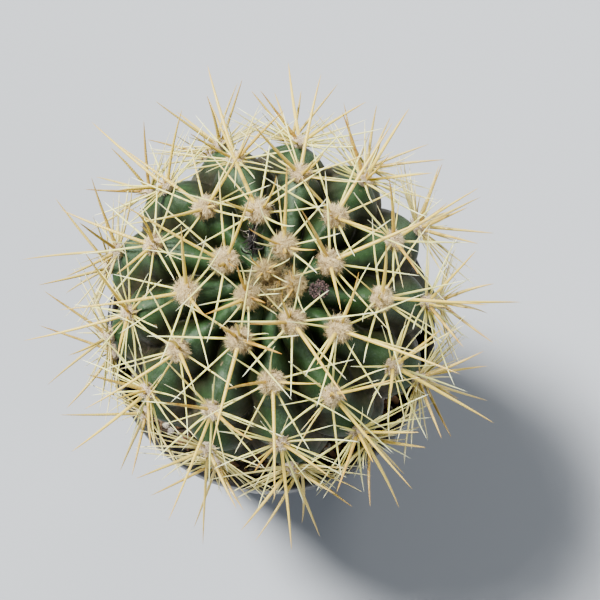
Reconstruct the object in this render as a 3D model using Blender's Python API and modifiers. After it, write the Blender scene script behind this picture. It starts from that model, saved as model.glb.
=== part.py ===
"""Potted round cactus: a young ribbed globe cactus in a plain black nursery pot.

The stem is a flattened globe with thirteen ribs. The areoles (woolly pads that
carry the spines) stand on a golden-angle spiral that starts beside the growing
point, so every thirteenth areole falls on the same rib. Each areole is one
piece with its ring of radial spines and its few stout central spines.

Units are metres, +Z is up, and the origin is the centre of the pot's flat
base, on the surface that the pot stands on.
"""

import math
import random

import bmesh
import bpy
import numpy as np
from mathutils import Matrix, Vector, noise
from mathutils.bvhtree import BVHTree

# ---- driving dimensions -------------------------------------------------------

# pot
POT_HEIGHT = 0.0640
POT_RIM_RADIUS = 0.0370
POT_BASE_RADIUS = 0.0270
POT_WALL = 0.0011
POT_FLOOR = 0.0016
RIM_BAND_DEPTH = 0.0075
RIM_BAND_PROJECTION = 0.0016
RIM_LIP_RADIUS = 0.0010
BASE_EDGE_RADIUS = 0.0016
DRAIN_HOLE_RADIUS = 0.0019
DRAIN_HOLE_COUNT = 6
DRAIN_CIRCLE_RADIUS = 0.0175

# potting mix
SOIL_BELOW_RIM = 0.0050
SOIL_MOUND = 0.0012
SOIL_ROUGHNESS = 0.0005

# stem
STEM_RADIUS = 0.0352
STEM_HALF_HEIGHT = 0.0280
STEM_BURIED = 0.0070
STEM_RIM_CLEARANCE = 0.0015
STEM_OFFSET_Y = 0.0010
STEM_LEAN = math.radians(6.0)
RIB_COUNT = 13
RIB_DEPTH = 0.0056
NOTCH_DEPTH = 0.0015
CROWN_DIP = 0.0020

# root stock, the woody neck below the stem
ROOT_TOP_RADIUS = 0.0090
ROOT_TIP_RADIUS = 0.0020
ROOT_LENGTH = 0.0300

# areoles, counted outward from the growing point
AREOLE_COUNT = 52
FIRST_AREOLE = -1
FIRST_AZIMUTH = math.radians(351.4)
DIVERGENCE = math.radians(138.188)
POLAR_START = 7.21
POLAR_STEP = 2.47
POLAR_EASING = 0.0125
POLAR_FOOT_STEP = 2.0
PAD_RADIUS = 0.0027
PAD_HEIGHT = 0.0016

# spines
RADIAL_LENGTH = 0.0158
RADIAL_THICKNESS = 0.00054
CENTRAL_LENGTH = 0.0225
CENTRAL_THICKNESS = 0.00080
SPINE_GAP = 0.0005

# dried flower remnants near the crown
BUD_RADIUS = 0.0021
BUDS = (
    ("dried_bud_dark", math.radians(117.0), math.radians(15.7), 1.15),
    ("dried_bud_grainy", math.radians(-9.5), math.radians(14.8), 1.0),
)

FIT_GAP = 0.0003
SEED = 41

# ---- derived ------------------------------------------------------------------

RIM_Z = POT_HEIGHT
RIM_INNER_RADIUS = POT_RIM_RADIUS - 2.0 * RIM_LIP_RADIUS


def stem_centre_above_rim():
    """Height that buries the stem's foot but keeps its flank off the rim."""
    buried = STEM_HALF_HEIGHT - STEM_BURIED - SOIL_BELOW_RIM
    free_radius = RIM_INNER_RADIUS - STEM_RIM_CLEARANCE - abs(STEM_OFFSET_Y)
    share = min(1.0, free_radius / STEM_RADIUS)
    return max(buried, STEM_HALF_HEIGHT * math.sqrt(1.0 - share * share))


STEM_CENTRE = Vector((0.0, STEM_OFFSET_Y, RIM_Z + stem_centre_above_rim()))
LEAN = Matrix.Rotation(STEM_LEAN, 4, "X")
STEM_FRAME = Matrix.Translation(STEM_CENTRE) @ LEAN


# ---- helpers ------------------------------------------------------------------


def clear_scene():
    """Remove whatever the scene holds."""
    for obj in list(bpy.data.objects):
        bpy.data.objects.remove(obj, do_unlink=True)


def new_collection(name):
    """Return a new collection linked to the scene."""
    collection = bpy.data.collections.new(name)
    bpy.context.scene.collection.children.link(collection)
    return collection


def new_material(name, colour, roughness, metallic=0.0):
    """Return a plain Principled material."""
    material = bpy.data.materials.new(name)
    material.use_nodes = True
    shader = material.node_tree.nodes["Principled BSDF"]
    shader.inputs["Base Color"].default_value = (*colour, 1.0)
    shader.inputs["Roughness"].default_value = roughness
    shader.inputs["Metallic"].default_value = metallic
    material.diffuse_color = (*colour, 1.0)
    return material


def object_from_bmesh(name, bm, collection, material, sharp_angle=35.0):
    """Turn a bmesh into a smooth-shaded object in the collection."""
    bmesh.ops.recalc_face_normals(bm, faces=bm.faces)
    mesh = bpy.data.meshes.new(name)
    bm.to_mesh(mesh)
    bm.free()
    mesh.shade_smooth()
    mesh.set_sharp_from_angle(angle=math.radians(sharp_angle))
    mesh.materials.append(material)
    obj = bpy.data.objects.new(name, mesh)
    collection.objects.link(obj)
    return obj


def profile_object(name, points, collection, material, steps=48):
    """Return a solid of revolution from a profile that starts and ends on Z."""
    mesh = bpy.data.meshes.new(name)
    vertices = [(x, 0.0, z) for x, z in points]
    edges = [(i, i + 1) for i in range(len(points) - 1)]
    mesh.from_pydata(vertices, edges, [])
    mesh.materials.append(material)
    obj = bpy.data.objects.new(name, mesh)
    collection.objects.link(obj)
    screw = obj.modifiers.new("Turn", "SCREW")
    screw.axis = "Z"
    screw.steps = steps
    screw.render_steps = steps
    screw.use_merge_vertices = True
    screw.merge_threshold = 0.00001
    screw.use_smooth_shade = True
    return obj


def arc(centre_x, centre_z, radius, start_deg, end_deg, count):
    """Return points of an arc in the profile plane."""
    points = []
    for i in range(count + 1):
        angle = math.radians(start_deg + (end_deg - start_deg) * i / count)
        points.append((centre_x + radius * math.cos(angle), centre_z + radius * math.sin(angle)))
    return points


# ---- pot ----------------------------------------------------------------------


def wall_radius(z):
    """Outer radius of the tapered pot wall at height z, below the rim band."""
    top = POT_RIM_RADIUS - RIM_BAND_PROJECTION
    share = z / POT_HEIGHT
    return POT_BASE_RADIUS + (top - POT_BASE_RADIUS) * share


def build_pot(collection, cutters):
    """Thin-walled nursery pot with a rim band, a lip and drain holes."""
    plastic = new_material("Black pot plastic", (0.014, 0.014, 0.016), 0.46)
    band_z = POT_HEIGHT - RIM_BAND_DEPTH
    lip_z = POT_HEIGHT - RIM_LIP_RADIUS
    points = [(0.0, POT_FLOOR)]
    points.append((wall_radius(POT_FLOOR) - POT_WALL - 0.0012, POT_FLOOR))
    points.append((wall_radius(0.003) - POT_WALL, POT_FLOOR + 0.0012))
    points.append((wall_radius(band_z) - POT_WALL, band_z))
    points.append((RIM_INNER_RADIUS - 0.0004, band_z + 0.0012))
    points += arc(POT_RIM_RADIUS - RIM_LIP_RADIUS, lip_z, RIM_LIP_RADIUS, 180.0, 0.0, 6)
    points.append((POT_RIM_RADIUS - 0.0004, band_z))
    points.append((wall_radius(band_z), band_z - 0.0002))
    points.append((wall_radius(0.4 * POT_HEIGHT), 0.4 * POT_HEIGHT))
    edge = BASE_EDGE_RADIUS
    points += arc(POT_BASE_RADIUS - edge, edge, edge, 0.0, -90.0, 4)
    points.append((0.0, 0.0))
    pot = profile_object("pot", points, collection, plastic, steps=48)
    for k in range(DRAIN_HOLE_COUNT):
        angle = 2.0 * math.pi * (k + 0.5) / DRAIN_HOLE_COUNT
        bm = bmesh.new()
        bmesh.ops.create_cone(
            bm, cap_ends=True, segments=12, depth=4.0 * POT_FLOOR,
            radius1=DRAIN_HOLE_RADIUS, radius2=DRAIN_HOLE_RADIUS,
        )
        cutter = object_from_bmesh(f"drain_cutter_{k}", bm, cutters, plastic)
        cutter.location = (
            DRAIN_CIRCLE_RADIUS * math.cos(angle),
            DRAIN_CIRCLE_RADIUS * math.sin(angle),
            0.5 * POT_FLOOR,
        )
        cutter.hide_render = True
        cutter.display_type = "WIRE"
        cut = pot.modifiers.new(f"Drain {k}", "BOOLEAN")
        cut.operation = "DIFFERENCE"
        cut.solver = "EXACT"
        cut.object = cutter
    return pot


# ---- stem ---------------------------------------------------------------------


def polar_of(n):
    """Polar angle of areole n below the growing point, in radians."""
    return math.radians(POLAR_START + POLAR_STEP * n - POLAR_EASING * n * n)


def azimuth_of(n):
    """Azimuth of areole n round the stem's axis."""
    return FIRST_AZIMUTH - DIVERGENCE * n


def count_at(polar):
    """Areole count, as a real number, that reaches this polar angle."""
    last = FIRST_AREOLE + AREOLE_COUNT - 1
    polar_deg = math.degrees(polar)
    last_deg = math.degrees(polar_of(last))
    if polar_deg >= last_deg:
        return last + (polar_deg - last_deg) / POLAR_FOOT_STEP
    root = POLAR_STEP * POLAR_STEP - 4.0 * POLAR_EASING * (polar_deg - POLAR_START)
    return (POLAR_STEP - math.sqrt(max(root, 0.0))) / (2.0 * POLAR_EASING)


def rib_twist(polar):
    """How far the ribs have turned round the axis at this polar angle."""
    lap = RIB_COUNT * DIVERGENCE - 2.0 * math.pi * round(RIB_COUNT * DIVERGENCE / (2.0 * math.pi))
    return -lap * count_at(polar) / RIB_COUNT


def smooth_step(low, high, value):
    """Ease from 0 at low to 1 at high."""
    share = min(1.0, max(0.0, (value - low) / (high - low)))
    return share * share * (3.0 - 2.0 * share)


def stem_inset(azimuth, polar):
    """How far the skin lies inside the smooth globe at this place."""
    rib_angle = 2.0 * math.pi / RIB_COUNT
    turn = (azimuth - FIRST_AZIMUTH - rib_twist(polar)) / rib_angle
    rib = round(turn)
    across = abs(turn - rib) * 2.0
    furrow = across ** 1.5
    near = smooth_step(0.08, 0.62, polar) * (1.0 - smooth_step(2.00, 2.45, polar))
    # areole n is on rib (-5 n) mod 13, so rib r holds n = 5 r mod 13
    phase = (count_at(polar) - 5.0 * rib) / RIB_COUNT
    notch = 0.5 - 0.5 * math.cos(2.0 * math.pi * (phase - round(phase)))
    notch *= near * (1.0 - across) ** 0.5
    dip = CROWN_DIP * (1.0 - smooth_step(0.0, 0.42, polar))
    return RIB_DEPTH * furrow * near + NOTCH_DEPTH * notch + dip


def globe_point(azimuth, polar, inset=0.0):
    """Point of the stem's own frame at this place, a distance inside the globe."""
    point = Vector((
        STEM_RADIUS * math.sin(polar) * math.cos(azimuth),
        STEM_RADIUS * math.sin(polar) * math.sin(azimuth),
        STEM_HALF_HEIGHT * math.cos(polar),
    ))
    return point - globe_normal(azimuth, polar) * inset


def globe_normal(azimuth, polar):
    """Outward normal of the smooth globe in the stem's own frame."""
    return Vector((
        math.sin(polar) * math.cos(azimuth) / STEM_RADIUS,
        math.sin(polar) * math.sin(azimuth) / STEM_RADIUS,
        math.cos(polar) / STEM_HALF_HEIGHT,
    )).normalized()


def build_stem(collection):
    """Ribbed globe made by pushing a sphere's points in along the furrows."""
    skin = new_material("Cactus skin", (0.055, 0.115, 0.060), 0.52)
    bm = bmesh.new()
    columns = RIB_COUNT * 6
    bmesh.ops.create_uvsphere(bm, u_segments=columns, v_segments=24, radius=1.0)
    step = 2.0 * math.pi / columns
    first = min(math.atan2(v.co.y, v.co.x) % step for v in bm.verts if abs(v.co.z) < 0.9)
    for vert in bm.verts:
        polar = math.acos(max(-1.0, min(1.0, vert.co.z)))
        azimuth = math.atan2(vert.co.y, vert.co.x) - first
        azimuth += FIRST_AZIMUTH + rib_twist(polar)
        vert.co = globe_point(azimuth, polar, stem_inset(azimuth, polar))
    stem = object_from_bmesh("stem", bm, collection, skin, sharp_angle=60.0)
    stem.matrix_world = STEM_FRAME
    return stem


def stem_tree(stem):
    """Search tree of the stem's faces, in the stem's own frame."""
    bm = bmesh.new()
    bm.from_mesh(stem.data)
    tree = BVHTree.FromBMesh(bm)
    bm.free()
    return tree


# ---- root stock and potting mix ------------------------------------------------


def stem_bottom():
    """Lowest point of the leaning stem."""
    lean = STEM_LEAN
    drop = math.hypot(STEM_HALF_HEIGHT * math.cos(lean), STEM_RADIUS * math.sin(lean))
    return STEM_CENTRE.z - drop


def build_root(collection):
    """Woody tapering root below the stem, buried in the mix."""
    bark = new_material("Root bark", (0.20, 0.13, 0.075), 0.85)
    top = stem_bottom() - FIT_GAP
    points = [(0.0, top)]
    points.append((ROOT_TOP_RADIUS * 0.8, top))
    for i in range(6):
        share = i / 5.0
        radius = ROOT_TOP_RADIUS + (ROOT_TIP_RADIUS - ROOT_TOP_RADIUS) * share ** 0.7
        points.append((radius, top - 0.0015 - (ROOT_LENGTH - 0.0030) * share))
    points.append((0.0, top - ROOT_LENGTH))
    root = profile_object("root_stock", points, collection, bark, steps=16)
    return root


def build_soil(collection, cutters):
    """Potting mix that fills the pot and cradles the foot of the stem."""
    mix = new_material("Potting mix", (0.050, 0.034, 0.024), 0.95)
    level = RIM_Z - SOIL_BELOW_RIM
    bottom = POT_FLOOR + FIT_GAP
    gap = FIT_GAP + 0.0001
    cavity_top = stem_bottom() - FIT_GAP
    cavity_floor = cavity_top - ROOT_LENGTH - FIT_GAP
    points = [(0.0, cavity_floor)]
    points.append((ROOT_TIP_RADIUS + gap, cavity_floor))
    for i in range(6):
        share = 1.0 - i / 5.0
        radius = ROOT_TOP_RADIUS + (ROOT_TIP_RADIUS - ROOT_TOP_RADIUS) * share ** 0.7
        points.append((radius + gap, cavity_top - 0.0015 - (ROOT_LENGTH - 0.0030) * share))
    points.append((ROOT_TOP_RADIUS + gap, cavity_top + 0.0030))
    inner = wall_radius(level) - POT_WALL - FIT_GAP
    for i in range(8):
        share = i / 7.0
        radius = ROOT_TOP_RADIUS + 0.0040 + (inner - ROOT_TOP_RADIUS - 0.0040) * share
        height = level + SOIL_MOUND * (1.0 - share) ** 1.5
        points.append((radius, height))
    points.append((wall_radius(bottom) - POT_WALL - 0.0016, bottom))
    points.append((0.0, bottom))

    bm = bmesh.new()
    verts = [bm.verts.new((x, 0.0, z)) for x, z in points]
    edges = [bm.edges.new((verts[i], verts[i + 1])) for i in range(len(verts) - 1)]
    bmesh.ops.spin(
        bm, geom=verts + edges, cent=(0.0, 0.0, 0.0), axis=(0.0, 0.0, 1.0),
        angle=2.0 * math.pi, steps=36, use_merge=True, use_duplicate=False,
    )
    bmesh.ops.remove_doubles(bm, verts=bm.verts, dist=0.00001)
    for vert in bm.verts:
        radius = math.hypot(vert.co.x, vert.co.y)
        on_top = vert.co.z > level - 0.0004 and radius > ROOT_TOP_RADIUS + 0.0030
        if on_top and radius < inner - 0.0005:
            vert.co.z += SOIL_ROUGHNESS * noise.noise(vert.co * 260.0)
    soil = object_from_bmesh("potting_mix", bm, collection, mix, sharp_angle=50.0)

    bm = bmesh.new()
    bmesh.ops.create_uvsphere(bm, u_segments=48, v_segments=32, radius=1.0)
    for vert in bm.verts:
        vert.co.x *= STEM_RADIUS + gap
        vert.co.y *= STEM_RADIUS + gap
        vert.co.z *= STEM_HALF_HEIGHT + gap
    cutter = object_from_bmesh("stem_hollow_cutter", bm, cutters, mix)
    cutter.matrix_world = STEM_FRAME
    cutter.hide_render = True
    cutter.display_type = "WIRE"
    cut = soil.modifiers.new("Stem hollow", "BOOLEAN")
    cut.operation = "DIFFERENCE"
    cut.solver = "EXACT"
    cut.object = cutter
    return soil


# ---- areoles and spines ----------------------------------------------------------


def segment_gaps(start, end, starts, ends):
    """Distances from one segment to each of many segments."""
    d1 = end - start
    d2 = ends - starts
    r = start - starts
    a = float(d1 @ d1)
    e = np.einsum("ij,ij->i", d2, d2)
    f = np.einsum("ij,ij->i", d2, r)
    c = r @ d1
    b = d2 @ d1
    denom = np.maximum(a * e - b * b, 1e-18)
    s = np.clip((b * f - c * e) / denom, 0.0, 1.0)
    t = (b * s + f) / e
    s = np.where(t < 0.0, np.clip(-c / a, 0.0, 1.0), s)
    s = np.where(t > 1.0, np.clip((b - c) / a, 0.0, 1.0), s)
    t = np.clip(t, 0.0, 1.0)
    near1 = start + s[:, None] * d1
    near2 = starts + t[:, None] * d2
    return np.linalg.norm(near1 - near2, axis=1)


class Crowd:
    """Keeps every spine clear of the other areoles, the stem, the pot and the buds."""

    def __init__(self):
        self.starts = []
        self.ends = []
        self.radii = []
        self.owners = []
        self.balls = []

    def add_segment(self, owner, start, end, radius):
        """Remember one straight stretch of a spine."""
        self.owners.append(owner)
        self.starts.append(np.array(start))
        self.ends.append(np.array(end))
        self.radii.append(radius)

    def add_ball(self, owner, centre, radius):
        """Remember a pad or a bud as a ball."""
        self.balls.append((owner, np.array(centre), radius))

    def clearance(self, owner, start, end, radius):
        """Free room round a stretch of spine, negative where it would touch."""
        room = 1.0
        a = np.array(start)
        b = np.array(end)
        others = [i for i, o in enumerate(self.owners) if o != owner]
        if others:
            gaps = segment_gaps(
                a, b, np.array([self.starts[i] for i in others]),
                np.array([self.ends[i] for i in others]),
            )
            gaps -= np.array([self.radii[i] for i in others]) + radius
            room = min(room, float(gaps.min()))
        for other, centre, ball in self.balls:
            if other == owner:
                continue
            along = np.clip((centre - a) @ (b - a) / ((b - a) @ (b - a)), 0.0, 1.0)
            distance = np.linalg.norm(a + along * (b - a) - centre)
            room = min(room, float(distance) - ball - radius)
        return min(room, self.body_room(a, b, radius))

    def body_room(self, a, b, radius):
        """Free room between a stretch of spine and the stem, the pot and the mix."""
        room = 1.0
        to_stem = STEM_FRAME.inverted()
        for i in range(1, 9):
            point = Vector(a + (b - a) * i / 8.0)
            travelled = (point - Vector(a)).length
            local = to_stem @ point
            globe = math.sqrt(
                (local.x ** 2 + local.y ** 2) / STEM_RADIUS ** 2
                + (local.z / STEM_HALF_HEIGHT) ** 2
            )
            height = (globe - 1.0) * STEM_HALF_HEIGHT
            if travelled > 0.003:
                room = min(room, height - radius)
            if math.hypot(point.x, point.y) < POT_RIM_RADIUS + 0.0010:
                room = min(room, point.z - RIM_Z - 0.0008)
        return room


def pad_size(n):
    """Radius and height of the woolly pad of areole n."""
    young = smooth_step(-2.0, 6.0, n)
    old = smooth_step(14.0, 40.0, n)
    radius = PAD_RADIUS * (0.80 + 0.24 * young - 0.26 * old)
    height = PAD_HEIGHT * (1.0 + 0.15 * young - 0.35 * old)
    return radius, height


def areole_frame(n):
    """Location and axes of areole n: Z out of the stem, -Y down the rib."""
    azimuth = azimuth_of(n)
    polar = polar_of(n)
    seat = globe_point(azimuth, polar, stem_inset(azimuth, polar))
    outward = globe_normal(azimuth, polar)
    beyond = globe_point(azimuth, polar + 0.02)
    down = beyond - globe_point(azimuth, polar)
    down = (down - outward * down.dot(outward)).normalized()
    side = outward.cross(down)
    frame = Matrix((
        (-side.x, -down.x, outward.x, seat.x),
        (-side.y, -down.y, outward.y, seat.y),
        (-side.z, -down.z, outward.z, seat.z),
        (0.0, 0.0, 0.0, 1.0),
    ))
    return frame


def spine_direction(around, rise):
    """Unit direction in an areole's frame; around is measured from +X."""
    return Vector((
        math.cos(rise) * math.cos(around),
        math.cos(rise) * math.sin(around),
        math.sin(rise),
    ))


def spine_plan(n, rng):
    """Ring faces, directions and lengths wanted for areole n.

    A ring face counts round the pad from +X, eight to a turn, so face 6 looks
    down the rib. The lower ring carries radial spines, the upper ring the
    central ones.
    """
    youth = 1.0 - smooth_step(-1.0, 6.0, n)
    growth = 0.28 + 0.72 * smooth_step(-1.8, 4.2, n)
    plans = []
    for face in range(8):
        if face == 2 and rng.random() < 0.65:
            continue
        around = (face + 0.5) * math.pi / 4.0 + rng.uniform(-0.16, 0.16)
        rise = math.radians(rng.uniform(11.0, 24.0) + 26.0 * youth)
        length = RADIAL_LENGTH * growth * rng.uniform(0.84, 1.10)
        if math.sin(around) > 0.5:
            length *= 0.86
        plans.append(("radial", face, around, rise, length))
    centrals = [(5, -96.0, 34.0, 1.0), (3, 150.0, 50.0, 0.66), (0, 26.0, 48.0, 0.72)]
    if rng.random() < 0.5:
        centrals.append((1, 84.0, 66.0, 0.52))
    for face, around_deg, rise_deg, share in centrals:
        around = math.radians(around_deg + rng.uniform(-12.0, 12.0))
        rise = math.radians(rise_deg + rng.uniform(-7.0, 7.0))
        rise += (math.radians(76.0) - rise) * youth * 0.7
        length = CENTRAL_LENGTH * growth ** 1.4 * share * rng.uniform(0.84, 1.12)
        plans.append(("central", face, around, rise, length))
    return plans


def choose_spine(crowd, owner, frame, root, plan, rng):
    """Try directions near the wanted one and keep the first that is clear."""
    kind, face, around, rise, length = plan
    thickness = RADIAL_THICKNESS if kind == "radial" else CENTRAL_THICKNESS
    radius = 0.5 * thickness
    best = None
    for attempt in range(60):
        spread = 0.012 * attempt
        direction = spine_direction(
            around + rng.uniform(-spread, spread),
            min(1.35, max(0.14, rise + rng.uniform(-0.6 * spread, spread))),
        )
        reach = length * (1.0 - 0.006 * attempt)
        bend = Vector((0.0, 0.0, -0.035 if kind == "radial" else -0.05)) * reach
        middle = root + direction * reach * 0.5
        tip = root + direction * reach + bend
        points = [frame @ root, frame @ middle, frame @ tip]
        room = min(
            crowd.clearance(owner, points[0], points[1], radius),
            crowd.clearance(owner, points[1], points[2], radius),
        )
        if best is None or room > best[0]:
            best = (room, middle, tip, points)
        if room > SPINE_GAP:
            break
    if best[0] < 0.6 * SPINE_GAP:
        return None
    crowd.add_segment(owner, best[3][0], best[3][1], radius)
    crowd.add_segment(owner, best[3][1], best[3][2], radius)
    return best[1], best[2], radius


def ring_faces(bm):
    """Faces of the unit pad by ring and by place, eight to a turn from +X."""
    faces = {}
    for face in bm.faces:
        centre = face.calc_center_median()
        if len(face.verts) != 4 or centre.z < -0.2:
            continue
        kind = "central" if centre.z > 0.2 else "radial"
        turn = math.atan2(centre.y, centre.x) % (2.0 * math.pi)
        faces[kind, int(turn / (math.pi / 4.0))] = face
    return faces


def grow_spine(bm, face, middle, tip, radius, bent):
    """Draw a tapering spine out of one pad face."""
    centre = face.calc_center_median()
    axis = (middle - centre).normalized()

    def draw_ring(source, place, half_width):
        ring = bmesh.ops.extrude_discrete_faces(bm, faces=[source])["faces"][0]
        corner_centre = ring.calc_center_median()
        for vert in ring.verts:
            offset = vert.co - corner_centre
            offset -= axis * offset.dot(axis)
            vert.co = place + offset.normalized() * half_width
        return ring

    ring = draw_ring(face, centre + axis * 0.0010, radius)
    if bent:
        ring = draw_ring(ring, middle, radius * 0.82)
    fan = bmesh.ops.poke(bm, faces=[ring])
    fan["verts"][0].co = tip


def build_areole(n, name, tree, crowd, rng, collection, material):
    """One woolly pad with its spines, as a single closed body."""
    frame = areole_frame(n)
    world = STEM_FRAME @ frame
    pad_radius, pad_height = pad_size(n)
    bm = bmesh.new()
    bmesh.ops.create_uvsphere(bm, u_segments=8, v_segments=5, radius=1.0)
    angles = [math.atan2(v.co.y, v.co.x) % (math.pi / 4.0) for v in bm.verts if abs(v.co.z) < 0.9]
    turn = -min(angles)
    bmesh.ops.rotate(bm, verts=bm.verts, matrix=Matrix.Rotation(turn, 3, "Z"))
    faces = ring_faces(bm)
    for vert in bm.verts:
        upper = vert.co.z > 0.0
        vert.co.x *= pad_radius
        vert.co.y *= pad_radius
        vert.co.z *= pad_height if upper else 0.6 * pad_height
        vert.co.z += 0.6 * pad_height
    # the underside follows the skin at the fit gap
    outward = frame.to_3x3() @ Vector((0.0, 0.0, 1.0))
    for vert in bm.verts:
        if vert.co.z > 0.62 * pad_height:
            continue
        above = frame @ Vector((vert.co.x, vert.co.y, 0.004))
        hit = tree.ray_cast(above, -outward, 0.012)[0]
        floor = -0.0012 if hit is None else (frame.inverted() @ hit).z
        rest = floor + FIT_GAP + 0.0001
        vert.co.z = max(rest, -0.0012) if vert.co.z < 0.5 * pad_height else max(vert.co.z, rest + 0.0002)
    for plan in spine_plan(n, rng):
        kind, index, around, rise, length = plan
        face = faces[kind, index]
        root = face.calc_center_median()
        chosen = choose_spine(crowd, name, world, root, plan, rng)
        if chosen is None:
            continue
        middle, tip, radius = chosen
        grow_spine(bm, face, middle, tip, radius, bent=kind == "central")
    areole = object_from_bmesh(name, bm, collection, material, sharp_angle=50.0)
    areole.matrix_world = world
    return areole


def build_bud(name, azimuth, polar, size, tree, collection, material):
    """Small dried flower remnant lying between the areoles."""
    radius = BUD_RADIUS * size
    outward = globe_normal(azimuth, polar)
    seat, _, _, _ = tree.ray_cast(globe_point(azimuth, polar) + outward * 0.004, -outward, 0.02)
    turn = Vector((0.0, 0.0, 1.0)).rotation_difference(outward).to_matrix().to_4x4()
    frame = Matrix.Translation(seat) @ turn
    bm = bmesh.new()
    bmesh.ops.create_icosphere(bm, subdivisions=2, radius=1.0)
    for vert in bm.verts:
        bump = 1.0 + 0.22 * noise.noise(vert.co * 2.3 + Vector((azimuth, polar, size)))
        vert.co = vert.co * radius * bump
        vert.co.z = vert.co.z * 0.8 + radius * 0.8
    for vert in bm.verts:
        above = frame @ Vector((vert.co.x, vert.co.y, 0.006))
        hit = tree.ray_cast(above, -outward, 0.012)[0]
        if hit is not None:
            vert.co.z = max(vert.co.z, (frame.inverted() @ hit).z + FIT_GAP + 0.0002)
    bud = object_from_bmesh(name, bm, collection, material, sharp_angle=80.0)
    bud.matrix_world = STEM_FRAME @ frame
    return bud


def main():
    """Build the whole plant in its pot."""
    clear_scene()
    collection = new_collection("potted_round_cactus")
    cutters = new_collection("cutters")
    build_pot(collection, cutters)
    build_soil(collection, cutters)
    build_root(collection)
    stem = build_stem(collection)
    tree = stem_tree(stem)

    young = new_material("Young areole", (0.46, 0.27, 0.11), 0.70)
    grown = new_material("Straw spines and wool", (0.66, 0.49, 0.26), 0.62)
    aged = new_material("Old grey spines", (0.52, 0.42, 0.28), 0.75)
    dried = new_material("Dried flower", (0.055, 0.032, 0.030), 0.90)

    crowd = Crowd()
    for name, azimuth, polar, size in BUDS:
        build_bud(name, azimuth, polar, size, tree, collection, dried)
        centre = globe_point(azimuth, polar) + globe_normal(azimuth, polar) * BUD_RADIUS * 0.5
        crowd.add_ball(name, STEM_FRAME @ centre, BUD_RADIUS * size * 1.25)
    numbers = [FIRST_AREOLE + i for i in range(AREOLE_COUNT)]
    names = [f"areole_{i:02d}" for i in range(AREOLE_COUNT)]
    for n, name in zip(numbers, names):
        frame = STEM_FRAME @ areole_frame(n)
        radius, height = pad_size(n)
        crowd.add_ball(name, frame @ Vector((0.0, 0.0, 0.3 * height)), radius + FIT_GAP)
    for n, name in zip(numbers, names):
        rng = random.Random(SEED * 1000 + n)
        material = young if n < 4 else grown if n < 30 else aged
        build_areole(n, name, tree, crowd, rng, collection, material)


main()
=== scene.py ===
"""Looks of a potted round cactus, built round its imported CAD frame.

The plant is a flattened globe with thirteen ribs. Woolly areoles stand on the
ribs along a golden-angle spiral, and each one carries a ring of straw-coloured
radial spines and a few stout golden central spines. It grows in dark potting
mix in a plain black nursery pot. Every sub-assembly has its own class, every
finish is a frozen dataclass, and effects that several materials share are
shader node groups.

Lengths are metres, +Z is up, and the origin is the centre of the pot's base.
"""

from __future__ import annotations

import logging
import math
import random
from dataclasses import dataclass, field
from enum import Enum, IntEnum

import bpy
import numpy as np
from mathutils import Matrix, Vector, noise

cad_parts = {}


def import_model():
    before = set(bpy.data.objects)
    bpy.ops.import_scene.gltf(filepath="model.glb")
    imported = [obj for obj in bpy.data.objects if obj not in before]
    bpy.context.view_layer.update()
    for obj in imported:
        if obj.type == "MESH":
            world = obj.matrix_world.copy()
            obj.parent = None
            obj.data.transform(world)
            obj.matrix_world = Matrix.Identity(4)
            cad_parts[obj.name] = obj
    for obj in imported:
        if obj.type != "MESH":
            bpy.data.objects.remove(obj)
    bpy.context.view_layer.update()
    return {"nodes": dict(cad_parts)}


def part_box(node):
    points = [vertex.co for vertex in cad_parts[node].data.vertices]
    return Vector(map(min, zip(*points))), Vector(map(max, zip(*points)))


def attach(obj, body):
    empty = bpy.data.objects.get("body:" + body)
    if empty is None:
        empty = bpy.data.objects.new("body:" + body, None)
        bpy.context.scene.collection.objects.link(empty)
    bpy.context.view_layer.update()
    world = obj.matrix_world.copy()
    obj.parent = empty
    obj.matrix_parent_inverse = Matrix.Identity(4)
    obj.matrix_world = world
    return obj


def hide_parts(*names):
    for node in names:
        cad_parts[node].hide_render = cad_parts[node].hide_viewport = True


LOG = logging.getLogger("potted_round_cactus")
BODY = "root"
Triple = tuple[float, float, float]
Colour = Triple
Patch = tuple[np.ndarray, list]
Range = tuple[float, float]
Socket = bpy.types.NodeSocket
GOLDEN_ANGLE = math.pi * (3.0 - math.sqrt(5.0))
ANY_TURN = 6.28  # widest heading that chance picks, in radians


# ---- choices --------------------------------------------------------------------


class Age(Enum):
    """How old an areole is, which picks the finishes of its spines."""

    YOUNG = "young_areoles"
    GROWN = "grown_areoles"
    OLD = "old_areoles"


class Seed(IntEnum):
    """Start of each sequence of chance; areoles add their own number to theirs."""

    CUSHION = 9100
    HAIRS = 700
    BRIGHTNESS = 5200
    FOOT = 415
    CROWN = 78
    SPINELETS = 77
    SHREDS = 501
    CRUMBS = 502
    GRAINS = 3300


class Grain(Enum):
    """Kinds of loose grain in the potting mix."""

    BARK = "bark"
    PERLITE = "perlite"
    GRIT = "grit"


# ---- finishes -------------------------------------------------------------------


@dataclass(frozen=True)
class SkinFinish:
    """Waxy green skin of the stem."""

    # furrow is painted shade in the furrows; crest is a lighter green on the ridges, partly painted light
    furrow: Colour = (0.0074, 0.0096, 0.0014)
    flesh: Colour = (0.0102, 0.0300, 0.0056)
    crest: Colour = (0.0230, 0.0600, 0.0180)
    # the bloom colour is both the pale wax bloom and the painted highlight on the ridges
    bloom_and_highlight: Colour = (0.1000, 0.1480, 0.1080)
    cork: Colour = (0.260, 0.190, 0.105)
    weathered: Colour = (0.095, 0.078, 0.052)
    roughness: float = 0.49
    subsurface: float = 0.04


@dataclass(frozen=True)
class SpineFinish:
    """Horny spine, coloured from its root to its point."""

    root: Colour
    shaft: Colour
    point: Colour
    deep: Colour
    roughness: float = 0.35


@dataclass(frozen=True)
class WoolFinish:
    """Felted wool and loose hairs of an areole."""

    # shade is the painted shade deep in the wool and low on a pad's sides; light is the painted light on the
    # hair tips and the pad's top
    shade: Colour
    light: Colour
    roughness: float = 0.92


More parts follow.
